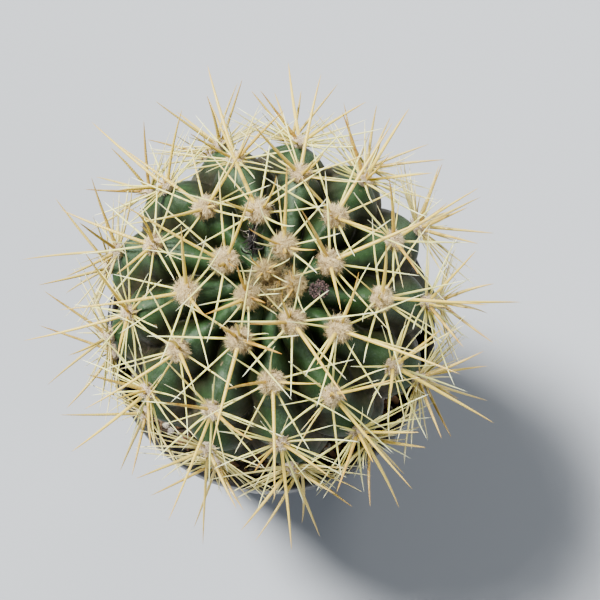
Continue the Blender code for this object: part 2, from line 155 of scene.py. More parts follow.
@dataclass(frozen=True)
class PlasticFinish:
    """Moulded pot plastic with dust and scuffs."""

    base: Colour = (0.016, 0.016, 0.018)
    worn: Colour = (0.060, 0.060, 0.062)
    dust: Colour = (0.240, 0.195, 0.145)
    roughness: float = 0.44


@dataclass(frozen=True)
class EarthFinish:
    """Peat, bark and mineral grains."""

    peat: Colour = (0.026, 0.016, 0.010)
    fibre: Colour = (0.110, 0.066, 0.036)
    bark_dark: Colour = (0.060, 0.028, 0.014)
    bark_light: Colour = (0.230, 0.120, 0.060)
    perlite_shade: Colour = (0.560, 0.540, 0.500)
    perlite_light: Colour = (0.820, 0.810, 0.780)
    grit_dark: Colour = (0.150, 0.135, 0.120)
    grit_light: Colour = (0.420, 0.370, 0.300)


@dataclass(frozen=True)
class DriedFinish:
    """Dead flower parts and crumbs."""

    dark: Colour = (0.009, 0.007, 0.008)
    plum: Colour = (0.150, 0.085, 0.080)
    shred: Colour = (0.420, 0.370, 0.300)


@dataclass(frozen=True)
class RootFinish:
    """Corky bark of the root stock."""

    dark: Colour = (0.100, 0.055, 0.030)
    light: Colour = (0.320, 0.210, 0.120)


RADIAL_FINISH = {
    Age.YOUNG: SpineFinish((0.54, 0.48, 0.11), (0.76, 0.76, 0.26), (0.94, 1.00, 0.72), (0.56, 0.34, 0.04)),
    Age.GROWN: SpineFinish((0.52, 0.44, 0.08), (0.75, 0.73, 0.21), (0.92, 0.97, 0.62), (0.62, 0.41, 0.05)),
    Age.OLD: SpineFinish((0.45, 0.36, 0.09), (0.64, 0.57, 0.19), (0.82, 0.79, 0.44), (0.48, 0.31, 0.06)),
}
CENTRAL_FINISH = {
    Age.YOUNG: SpineFinish((0.52, 0.38, 0.06), (0.64, 0.46, 0.07), (0.48, 0.24, 0.04), (0.32, 0.12, 0.014)),
    Age.GROWN: SpineFinish((0.56, 0.42, 0.06), (0.67, 0.50, 0.075), (0.60, 0.39, 0.08), (0.30, 0.12, 0.014)),
    Age.OLD: SpineFinish((0.45, 0.34, 0.07), (0.57, 0.43, 0.09), (0.50, 0.34, 0.09), (0.29, 0.145, 0.028)),
}
WOOL_FINISH = {
    Age.YOUNG: WoolFinish((0.065, 0.040, 0.014), (0.52, 0.39, 0.150)),
    Age.GROWN: WoolFinish((0.14, 0.072, 0.024), (1.00, 0.82, 0.43)),
    Age.OLD: WoolFinish((0.26, 0.16, 0.11), (1.00, 0.91, 0.68)),
}
GRAIN_SHARES = (0.52, 0.16, 0.32)
FIRST_GROWN = 4  # areole numbers at which the age classes start
FIRST_OLD = 30
FIRST_SPARSE = 34  # from here on the wool is worn to half its tufts
PAD_RADIUS = 0.00295  # a full-sized cushion with its fuzz
PAD_TOP = 0.0033


# ---- small maths ------------------------------------------------------------------


def ease(low: float, high: float, value: np.ndarray | float) -> np.ndarray | float:
    """Ease from 0 to 1 as a value passes from low to high.

    Args:
        low: Where the result starts to leave 0.
        high: Where the result reaches 1.
        value: One number or an array.

    Returns:
        The eased share, in the shape of the value.
    """
    share = np.clip((value - low) / (high - low), 0.0, 1.0)
    return share * share * (3.0 - 2.0 * share)


def wrap(turns: np.ndarray) -> np.ndarray:
    """Bring turns into -0.5 to 0.5.

    Args:
        turns: Any number of turns.

    Returns:
        The signed part of a turn.
    """
    return turns - np.round(turns)


def moved(matrix: Matrix, points: np.ndarray) -> np.ndarray:
    """Move points out of an own frame.

    Args:
        matrix: The own frame's matrix.
        points: Points in it, one row each.

    Returns:
        The points in the part's frame.
    """
    own = np.array(matrix)
    return points @ own[:3, :3].T + own[:3, 3]


def settle(piece: bpy.types.Object, slot: str, *nodes: str) -> bpy.types.Object:
    """Tie a finished piece to the frame.

    Args:
        piece: The piece.
        slot: Name of its material slot; not used.
        *nodes: CAD nodes that it stands for, if any.

    Returns:
        The same piece.
    """
    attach(piece, BODY)
    if nodes:
        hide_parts(*nodes)
    return piece


def lifted(turn: float, rise: float) -> np.ndarray:
    """Unit vector that leans out of the horizontal.

    Args:
        turn: Its azimuth in radians.
        rise: Its angle above the horizontal in radians.

    Returns:
        The vector.
    """
    return np.array([math.cos(rise) * math.cos(turn), math.cos(rise) * math.sin(turn), math.sin(rise)])


def side_axes(axis: np.ndarray) -> tuple[np.ndarray, np.ndarray]:
    """Two unit vectors square to an axis and to each other.

    Args:
        axis: A unit vector.

    Returns:
        The two side vectors.
    """
    helper = np.array([0.0, 0.0, 1.0]) if abs(axis[2]) < 0.9 else np.array([1.0, 0.0, 0.0])
    first = np.cross(axis, helper)
    first /= np.linalg.norm(first)
    return first, np.cross(axis, first)


def sideways(axis: np.ndarray, turn: float) -> np.ndarray:
    """Unit vector square to an axis.

    Args:
        axis: A unit vector.
        turn: Which way round it the result points, in radians.

    Returns:
        The vector.
    """
    first, second = side_axes(axis)
    return first * math.cos(turn) + second * math.sin(turn)


# ---- mesh assembly ------------------------------------------------------------------


def add_object(name: str, data: bpy.types.ID) -> bpy.types.Object:
    """Make an object and link it to the scene.

    Args:
        name: Its name.
        data: The mesh, light or camera that it holds.

    Returns:
        The object.
    """
    made = bpy.data.objects.new(name, data)
    bpy.context.scene.collection.objects.link(made)
    return made


def add_values(mesh: bpy.types.Mesh, name: str, values: np.ndarray) -> None:
    """Give every point of a mesh a number.

    Args:
        mesh: The mesh.
        name: Name of the new attribute.
        values: One number for each point.
    """
    mesh.attributes.new(name, "FLOAT", "POINT").data.foreach_set("value", values)


def along(t: np.ndarray, sides: int) -> np.ndarray:
    """Return the share of the way at each point of a tube or hair, ring by ring, then the tip."""
    return np.append(np.repeat(t[:-1], sides), 1.0)


def band_faces(rings: int, around: int, start: int = 0) -> list[list[int]]:
    """Faces between rings of points that follow each other.

    Args:
        rings: Number of rings.
        around: Points in each ring.
        start: Number of the first ring's first point.

    Returns:
        The four-sided faces.
    """
    faces = []
    for k in range(rings - 1):
        for s in range(around):
            a = start + k * around + s
            b = start + k * around + (s + 1) % around
            faces.append([a, a + around, b + around, b])
    return faces


def ball_faces(rings: int, around: int) -> list[list[int]]:
    """Faces of a ball whose first and last points are its poles.

    Args:
        rings: Rings of points between the poles.
        around: Points in each ring.

    Returns:
        The faces.
    """
    last = 1 + (rings - 1) * around
    faces = [[0, 1 + s, 1 + (s + 1) % around] for s in range(around)]
    faces += band_faces(rings, around, 1)
    return faces + [[last + s, last + around, last + (s + 1) % around] for s in range(around)]


@dataclass
class MeshBatch:
    """Gathers points, faces and point values for one mesh piece."""

    points: list[np.ndarray] = field(default_factory=list)
    corners: list[np.ndarray] = field(default_factory=list)
    sizes: list[np.ndarray] = field(default_factory=list)
    slots: list[np.ndarray] = field(default_factory=list)
    values: dict[str, list[np.ndarray]] = field(default_factory=dict)
    count: int = 0

    def add(self, points: np.ndarray, faces: list, slot: int = 0, **values: np.ndarray | float) -> None:
        """Add a patch of mesh.

        Args:
            points: Point places, one row each.
            faces: Point numbers of each face, counted within this patch. An
                entry may also be an array of many faces of one size.
            slot: Material index of the faces.
            **values: Named point values, an array or one number for all.
        """
        for face in faces:
            block = np.atleast_2d(np.asarray(face, int)) + self.count
            self.corners.append(block.ravel())
            self.sizes.append(np.full(len(block), block.shape[1]))
            self.slots.append(np.full(len(block), slot))
        self.points.append(np.asarray(points, float))
        for name, value in values.items():
            self.values.setdefault(name, []).append(np.broadcast_to(value, (len(points),)).astype(float))
        self.count += len(points)

    def build(
        self, name: str, materials: list[bpy.types.Material], sharp: float = 180.0
    ) -> bpy.types.Object:
        """Make the mesh object and link it to the scene.

        Args:
            name: The piece's name.
            materials: Materials by slot index.
            sharp: Edges that fold more than this angle, in degrees, stay sharp.

        Returns:
            The new object.
        """
        corners = np.concatenate(self.corners)
        sizes = np.concatenate(self.sizes)
        mesh = bpy.data.meshes.new(name)
        mesh.vertices.add(self.count)
        mesh.vertices.foreach_set("co", np.concatenate(self.points).ravel())
        mesh.loops.add(len(corners))
        mesh.loops.foreach_set("vertex_index", corners)
        mesh.polygons.add(len(sizes))
        mesh.polygons.foreach_set("loop_start", np.concatenate([[0], np.cumsum(sizes)[:-1]]))
        mesh.polygons.foreach_set("material_index", np.concatenate(self.slots))
        mesh.update(calc_edges=True)
        for material in materials:
            mesh.materials.append(material)
        for key, parts in self.values.items():
            add_values(mesh, key, np.concatenate(parts))
        mesh.shade_smooth()
        if sharp < 180.0:
            mesh.set_sharp_from_angle(angle=math.radians(sharp))
        mesh.validate()
        return add_object(name, mesh)


def strands(paths: np.ndarray, radius: float, taper: np.ndarray) -> Patch:
    """Three-sided hairs along many paths at once.

    Args:
        paths: Points of every hair, root first, shaped (hairs, points, 3).
        radius: Radius at the root.
        taper: Share of the radius at each point but the last.

    Returns:
        The points, hair by hair, and the faces as blocks of one size.
    """
    hairs, knots, _ = paths.shape
    axis = paths[:, -1] - paths[:, 0]
    axis /= np.linalg.norm(axis, axis=1, keepdims=True)
    helper = np.where(np.abs(axis[:, 2:3]) < 0.9, [[0.0, 0.0, 1.0]], [[1.0, 0.0, 0.0]])
    first = np.cross(axis, helper)
    first /= np.linalg.norm(first, axis=1, keepdims=True)
    second = np.cross(axis, first)
    turn = np.arange(3) * math.tau / 3.0
    ring = first[:, None] * np.cos(turn)[None, :, None] + second[:, None] * np.sin(turn)[None, :, None]
    body = paths[:, :-1, None, :] + ring[:, None] * (radius * taper)[None, :, None, None]
    points = np.concatenate([body.reshape(hairs, -1, 3), paths[:, -1:, :]], axis=1)
    each = 3 * (knots - 1) + 1
    start = (np.arange(hairs) * each)[:, None, None]
    level = 3 * np.arange(knots - 2)[:, None, None]
    side = np.arange(3)[:, None]
    after = (side + 1) % 3
    quads = np.concatenate([level + side, level + after, level + after + 3, level + side + 3], axis=2)
    quads = (start[..., None] + quads[None]).reshape(-1, 4)
    last = 3 * (knots - 2)
    tips = np.concatenate([last + side, last + after, np.full((3, 1), each - 1)], axis=1)
    tips = (start + tips[None]).reshape(-1, 3)
    return points.reshape(-1, 3), [quads, tips]


def curly(
    root: np.ndarray,
    out: np.ndarray,
    turn: np.ndarray,
    heading: np.ndarray,
    length: np.ndarray,
    curl: np.ndarray,
    knots: int,
) -> np.ndarray:
    """Paths of hairs that leave a rounded surface and curl over.

    Args:
        root: Where each hair starts.
        out: Its unit direction away from the surface.
        turn: Azimuth of the root round the surface's own Z, in radians.
        heading: Which way it bends, in radians.
        length: Its length.
        curl: How far it bends, 0 to 1.
        knots: Points along each hair.

    Returns:
        The paths, shaped (hairs, knots, 3).
    """
    first = np.stack([-np.sin(turn), np.cos(turn), np.zeros(len(turn))], -1)
    second = np.cross(out, first)
    lean = np.cos(heading)[:, None] * first + np.sin(heading)[:, None] * second
    cross = np.cross(out, lean)
    t = np.linspace(0.0, 1.0, knots)[None, :, None]
    size = length[:, None, None]
    bend = curl[:, None, None]
    path = root[:, None] + out[:, None] * size * (t - 0.34 * bend * t**2)
    path = path + lean[:, None] * size * 0.8 * bend * t**1.5
    return path + cross[:, None] * size * 0.20 * np.sin(3.5 * t + heading[:, None, None])


def tube(path: np.ndarray, radii: np.ndarray, sides: int, flat: float = 1.0) -> Patch:
    """Closed tube round a nearly straight path that ends in a point.

    Args:
        path: Points along the axis, root first.
        radii: Radius at each point; the last one is the point itself.
        sides: Number of sides.
        flat: Thickness of the section against its width.

    Returns:
        The tube's points and faces. The points run ring by ring, then the tip.
    """
    axis = path[-1] - path[0]
    axis /= np.linalg.norm(axis)
    first, second = side_axes(axis)
    angles = np.arange(sides) * math.tau / sides
    ring = np.outer(np.cos(angles), first) + np.outer(np.sin(angles), second) * flat
    rings = len(path) - 1
    points = (path[:-1, None, :] + radii[:-1, None, None] * ring[None]).reshape(-1, 3)
    points = np.vstack([points, path[-1]])
    faces = [list(range(sides))[::-1]]
    for k in range(rings - 1):
        for s in range(sides):
            a = k * sides + s
            b = k * sides + (s + 1) % sides
            faces.append([a, b, b + sides, a + sides])
    last = (rings - 1) * sides
    for s in range(sides):
        faces.append([last + s, last + (s + 1) % sides, rings * sides])
    return points, faces


def pebble(rng: random.Random, radius: float, stretch: Triple, rough: float, detail: int) -> Patch:
    """Irregular closed lump.

    Args:
        rng: Source of chance.
        radius: Mean radius.
        stretch: Scale along the lump's own axes.
        rough: Relief as a share of the radius.
        detail: Rings of the lump, from 4 up.

    Returns:
        Points and faces round the origin.
    """
    seed = Vector((rng.uniform(0.0, 90.0), rng.uniform(0.0, 90.0), rng.uniform(0.0, 90.0)))
    around = 2 * detail
    points = [(0.0, 0.0, 1.0)]
    for k in range(1, detail):
        polar = math.pi * k / detail
        for s in range(around):
            turn = math.tau * (s + 0.5 * (k % 2)) / around
            ring = math.sin(polar)
            points.append((ring * math.cos(turn), ring * math.sin(turn), math.cos(polar)))
    points.append((0.0, 0.0, -1.0))
    places = []
    for point in points:
        spot = Vector(point)
        swell = 1.0 + rough * noise.noise(spot * 1.3 + seed) + 0.5 * rough * noise.noise(spot * 3.1 + seed)
        places.append([spot[i] * swell * radius * stretch[i] for i in range(3)])
    turn = Matrix.Rotation(rng.uniform(0.0, ANY_TURN), 3, "Z")
    turn = turn @ Matrix.Rotation(rng.uniform(0.0, ANY_TURN), 3, "X")
    return np.array(places) @ np.array(turn).T, ball_faces(detail - 1, around)


# ---- the plant's own geometry ---------------------------------------------------------


@dataclass(frozen=True)
class Growth:
    """Shape of the globe and the spiral that its areoles follow."""

    radius: float = 0.0352
    half_height: float = 0.0280
    ribs: int = 13
    rib_depth: float = 0.0056
    notch_depth: float = 0.0017
    pinch_depth: float = 0.00035
    crown_dip: float = 0.0020
    first_azimuth: float = math.radians(351.4)
    divergence: float = math.radians(138.188)
    polar_start: float = 7.21  # degrees from the crown, like the next three
    polar_step: float = 2.47
    polar_easing: float = 0.0125
    foot_step: float = 2.0
    last_areole: int = 50
    centre: Triple = (0.0, 0.0010, 0.0800)
    lean: float = math.radians(6.0)

    def frame(self) -> Matrix:
        """Return the matrix from the stem's own frame to the part's frame."""
        return Matrix.Translation(Vector(self.centre)) @ Matrix.Rotation(self.lean, 4, "X")

    def polar_of(self, n: float) -> float:
        """Return the polar angle of areole n, in radians."""
        return math.radians(self.polar_start + self.polar_step * n - self.polar_easing * n * n)

    def azimuth_of(self, n: float) -> float:
        """Return the azimuth of areole n, in radians."""
        return self.first_azimuth - self.divergence * n

    def point_of(self, n: float) -> np.ndarray:
        """Return the place of areole n on the smooth globe, in the stem's own frame."""
        return self.globe(np.array([self.azimuth_of(n)]), np.array([self.polar_of(n)]))[0][0]

    def count_at(self, polar: np.ndarray) -> np.ndarray:
        """Areole count reached at a polar angle.

        Args:
            polar: Polar angles in radians.

        Returns:
            The count as real numbers.
        """
        degrees = np.degrees(polar)
        last_deg = math.degrees(self.polar_of(self.last_areole))
        inside = self.polar_step**2 - 4.0 * self.polar_easing * (degrees - self.polar_start)
        upper = (self.polar_step - np.sqrt(np.maximum(inside, 0.0))) / (2.0 * self.polar_easing)
        lower = self.last_areole + (degrees - last_deg) / self.foot_step
        return np.where(degrees >= last_deg, lower, upper)

    def twist(self, polar: np.ndarray) -> np.ndarray:
        """How far the ribs have turned at a polar angle.

        Args:
            polar: Polar angles in radians.

        Returns:
            The turn in radians.
        """
        lap = self.ribs * self.divergence
        lap -= math.tau * round(lap / math.tau)
        return -lap * self.count_at(polar) / self.ribs

    def globe(self, azimuth: np.ndarray, polar: np.ndarray) -> tuple[np.ndarray, np.ndarray]:
        """Point and outward normal of the smooth globe.

        Args:
            azimuth: Azimuths in radians.
            polar: Polar angles in radians.

        Returns:
            Points and unit normals, one row each, in the stem's own frame.
        """
        ring = np.stack([np.cos(azimuth), np.sin(azimuth)], -1)
        flat = self.radius * np.sin(polar)[..., None] * ring
        point = np.concatenate([flat, (self.half_height * np.cos(polar))[..., None]], -1)
        scale = np.array([self.radius, self.radius, self.half_height]) ** 2
        normal = point / scale
        return point, normal / np.linalg.norm(normal, axis=-1, keepdims=True)

    def relief(self, azimuth: np.ndarray, polar: np.ndarray) -> tuple[np.ndarray, np.ndarray]:
        """Depth of the skin inside the smooth globe.

        The phase along a rib runs from -0.5 to 0.5 and is 0 at an areole.

        Args:
            azimuth: Azimuths in radians.
            polar: Polar angles in radians.

        Returns:
            The inset in metres and the share of the way from crest to furrow.
        """
        count = self.count_at(polar)
        turn = (azimuth - self.first_azimuth - self.twist(polar)) * self.ribs / math.tau
        left = np.floor(turn)
        share = turn - left
        phase_left = wrap((count - 5.0 * left) / self.ribs)
        phase_right = wrap((count - 5.0 * (left + 1.0)) / self.ribs)
        swell_left = 0.5 + 0.5 * np.cos(math.tau * (phase_left - 0.05))
        swell_right = 0.5 + 0.5 * np.cos(math.tau * (phase_right - 0.05))
        border = 0.5 + 0.10 * (swell_left - swell_right)
        on_left = share < border
        across = np.where(on_left, share / border, (1.0 - share) / (1.0 - border))
        phase = np.where(on_left, phase_left, phase_right)
        swell = np.where(on_left, swell_left, swell_right)
        near = ease(0.06, 0.52, polar) * (1.0 - ease(2.00, 2.45, polar))
        furrow = 0.82 * across**1.6 + 0.18 * across**5
        notch = (1.0 - swell) ** 1.3 * (1.0 - across) ** 0.5
        pinch = np.exp(-((wrap(phase - 0.5) / 0.055) ** 2)) * (1.0 - across**2)
        dip = self.crown_dip * (1.0 - ease(0.0, 0.42, polar))
        inset = self.rib_depth * furrow * near + self.notch_depth * notch * near + dip
        inset = inset + self.pinch_depth * pinch * near
        return inset, across * near

    def seat(self, azimuth: float, polar: float, depth: float = 0.0) -> tuple[np.ndarray, np.ndarray]:
        """Place on the skin for something that grows there.

        Args:
            azimuth: Its azimuth in radians.
            polar: Its polar angle in radians.
            depth: How far it stands below the skin.

        Returns:
            The place and the globe's outward normal, in the stem's own frame.
        """
        own = np.array([azimuth]), np.array([polar])
        point, normal = self.globe(*own)
        return point[0] - normal[0] * (float(self.relief(*own)[0][0]) + depth), normal[0]


@dataclass
class Spine:
    """One spine as read from the CAD cluster, in the part's frame."""

    central: bool
    root: np.ndarray
    middle: np.ndarray
    tip: np.ndarray

    @property
    def length(self) -> float:
        """Return the spine's length."""
        return float(np.linalg.norm(self.tip - self.root))

    def path(self, steps: int, sway: float, side: float) -> np.ndarray:
        """Smooth path from root to tip through the middle point.

        Args:
            steps: Number of stretches.
            sway: Largest sideways wander.
            side: Which way round the wander goes, in radians.

        Returns:
            Points along the spine, root first.
        """
        t = np.linspace(0.0, 1.0, steps + 1)[:, None]
        control = 2.0 * self.middle - 0.5 * (self.root + self.tip)
        curve = (1 - t) ** 2 * self.root + 2 * t * (1 - t) * control + t**2 * self.tip
        lean = sideways((self.tip - self.root) / self.length, side)
        return curve + lean * sway * np.sin(math.pi * t) * (1.0 - 0.4 * t)


@dataclass
class Areole:
    """One woolly cushion and the spines that its CAD cluster holds."""

    index: int
    growth: Growth
    node: bpy.types.Object
    spines: list[Spine] = field(default_factory=list)
    ring_width: float = 0.0009  # a spine's ring of points is never wider
    root_width: float = 0.0007

    @property
    def number(self) -> int:
        """Return its count along the spiral."""
        return self.index - 1

    @property
    def age(self) -> Age:
        """Age class.

        Returns:
            The class that picks its spine finishes.
        """
        if self.number < FIRST_GROWN:
            return Age.YOUNG
        return Age.GROWN if self.number < FIRST_OLD else Age.OLD

    @property
    def frame(self) -> Matrix:
        """Frame on the skin: Z out of the stem, -Y down the rib.

        Returns:
            The matrix from the areole's frame to the part's frame.
        """
        azimuth = np.array([self.growth.azimuth_of(self.number)])
        polar = np.array([self.growth.polar_of(self.number)])
        point, normal = self.growth.globe(azimuth, polar)
        further, _ = self.growth.globe(azimuth, polar + 0.02)
        inset, _ = self.growth.relief(azimuth, polar)
        out = Vector(normal[0])
        down = Vector(further[0] - point[0])
        down = (down - out * down.dot(out)).normalized()
        side = out.cross(down)
        seat = Vector(point[0]) - out * float(inset[0])
        own = Matrix.Identity(4)
        for row in range(3):
            own[row] = (-side[row], -down[row], out[row], seat[row])
        return self.growth.frame() @ own

    @property
    def pad(self) -> tuple[float, float]:
        """Size of the cushion, its fuzz included.

        Returns:
            The radius and the height of the top.
        """
        young = float(ease(-2.5, 2.0, self.number))
        old = float(ease(8.0, 24.0, self.number))
        size = 0.72 + 0.30 * young - 0.30 * old
        return PAD_RADIUS * size, PAD_TOP * size

    def read(self) -> None:
        """Find the spines in the CAD cluster's mesh."""
        mesh = self.node.data
        places = np.array([v.co for v in mesh.vertices])
        welded, number = np.unique(np.round(places, 5), axis=0, return_inverse=True)
        beside: dict[int, set[int]] = {i: set() for i in range(len(welded))}
        for polygon in mesh.polygons:
            corners = [int(number[v]) for v in polygon.vertices]
            for a, b in zip(corners, corners[1:] + corners[:1]):
                if a != b:
                    beside[a].add(b)
                    beside[b].add(a)

        def spread(group: set[int]) -> tuple[np.ndarray, float]:
            """Return the middle of some points and the distance of the furthest."""
            centre = welded[list(group)].mean(axis=0)
            return centre, float(np.linalg.norm(welded[list(group)] - centre, axis=1).max())

        for tip, ring in beside.items():
            if len(ring) != 4:
                continue
            centre, width = spread(ring)
            if width > self.ring_width or np.linalg.norm(welded[tip] - centre) < self.ring_width:
                continue
            below = set().union(*(beside[i] for i in ring)) - ring - {tip}
            root, width = spread(below)
            if len(below) == 4 and width < self.root_width:
                self.spines.append(Spine(True, root, centre, welded[tip]))
            else:
                middle = 0.5 * (centre + welded[tip])
                self.spines.append(Spine(False, centre, middle, welded[tip]))


# ---- shading ------------------------------------------------------------------------


class Groups:
    """Shader node groups that several materials share."""

    def __init__(self) -> None:
        """Build each group once."""
        self.mottle = self._mottle()
        self.speckle = self._speckle()
        self.relief = self._relief()

    @staticmethod
    def _new(name: str, inputs: dict[str, float], outputs: dict[str, str]) -> tuple:
        """Start a group with its sockets.

        Args:
            name: The group's name.
            inputs: Number inputs and their defaults.
            outputs: Outputs and their kinds, Float or Vector.

        Returns:
            The tree, its input node, its output node and the object's own coordinates.
        """
        tree = bpy.data.node_groups.new(name, "ShaderNodeTree")
        for label, default in inputs.items():
            socket = tree.interface.new_socket(label, in_out="INPUT", socket_type="NodeSocketFloat")
            socket.default_value = default
        for label, kind in outputs.items():
            tree.interface.new_socket(label, in_out="OUTPUT", socket_type=f"NodeSocket{kind}")
        source = tree.nodes.new("NodeGroupInput")
        sink = tree.nodes.new("NodeGroupOutput")
        place = tree.nodes.new("ShaderNodeTexCoord").outputs["Object"]
        return tree, source, sink, place

    @staticmethod
    def _wire(tree: bpy.types.NodeTree, *pairs: tuple[Socket, Socket]) -> bpy.types.NodeTree:
        """Link outputs to inputs.

        Args:
            tree: The group's tree.
            *pairs: An output and the input that it feeds.

        Returns:
            The same tree.
        """
        for output, target in pairs:
            tree.links.new(output, target)
        return tree

    def _mottle(self) -> bpy.types.NodeTree:
        """Cloudy patches between 0 and 1 in object space.

        Returns:
            The group.
        """
        inputs = {"Scale": 100.0, "Low": 0.4, "High": 0.6}
        tree, source, sink, place = self._new("Mottle", inputs, {"Mask": "Float"})
        cloud = tree.nodes.new("ShaderNodeTexNoise")
        cloud.inputs["Detail"].default_value = 5.0
        cloud.inputs["Roughness"].default_value = 0.62
        span = tree.nodes.new("ShaderNodeMapRange")
        span.interpolation_type = "SMOOTHSTEP"
        return self._wire(
            tree,
            (place, cloud.inputs["Vector"]),
            (source.outputs["Scale"], cloud.inputs["Scale"]),
            (cloud.outputs["Fac"], span.inputs["Value"]),
            (source.outputs["Low"], span.inputs["From Min"]),
            (source.outputs["High"], span.inputs["From Max"]),
            (span.outputs["Result"], sink.inputs["Mask"]),
        )

    def _speckle(self) -> bpy.types.NodeTree:
        """Small round dots, 1 inside a dot and 0 between dots.

        Returns:
            The group.
        """
        tree, source, sink, place = self._new("Speckle", {"Scale": 1500.0, "Size": 0.25}, {"Mask": "Float"})
        cells = tree.nodes.new("ShaderNodeTexVoronoi")
        span = tree.nodes.new("ShaderNodeMapRange")
        span.inputs["To Min"].default_value = 1.0
        span.inputs["To Max"].default_value = 0.0
        return self._wire(
            tree,
            (place, cells.inputs["Vector"]),
            (source.outputs["Scale"], cells.inputs["Scale"]),
            (cells.outputs["Distance"], span.inputs["Value"]),
            (source.outputs["Size"], span.inputs["From Max"]),
            (span.outputs["Result"], sink.inputs["Mask"]),
        )

    def _relief(self) -> bpy.types.NodeTree:
        """Two sizes of noise relief as a bumped normal.

        Returns:
            The group.
        """
        inputs = {"Coarse": 400.0, "Fine": 2400.0, "Strength": 0.3, "Depth": 0.0002}
        tree, source, sink, place = self._new("Fine relief", inputs, {"Normal": "Vector"})
        broad = tree.nodes.new("ShaderNodeTexNoise")
        broad.inputs["Detail"].default_value = 3.0
        small = tree.nodes.new("ShaderNodeTexNoise")
        small.inputs["Detail"].default_value = 2.0
        join = tree.nodes.new("ShaderNodeMath")
        join.operation = "MULTIPLY_ADD"
        join.inputs[1].default_value = 0.45
        bump = tree.nodes.new("ShaderNodeBump")
        return self._wire(
            tree,
            (place, broad.inputs["Vector"]),
            (place, small.inputs["Vector"]),
            (source.outputs["Coarse"], broad.inputs["Scale"]),
            (source.outputs["Fine"], small.inputs["Scale"]),
            (small.outputs["Fac"], join.inputs[0]),
            (broad.outputs["Fac"], join.inputs[2]),
            (join.outputs["Value"], bump.inputs["Height"]),
            (source.outputs["Strength"], bump.inputs["Strength"]),
            (source.outputs["Depth"], bump.inputs["Distance"]),
            (bump.outputs["Normal"], sink.inputs["Normal"]),
        )


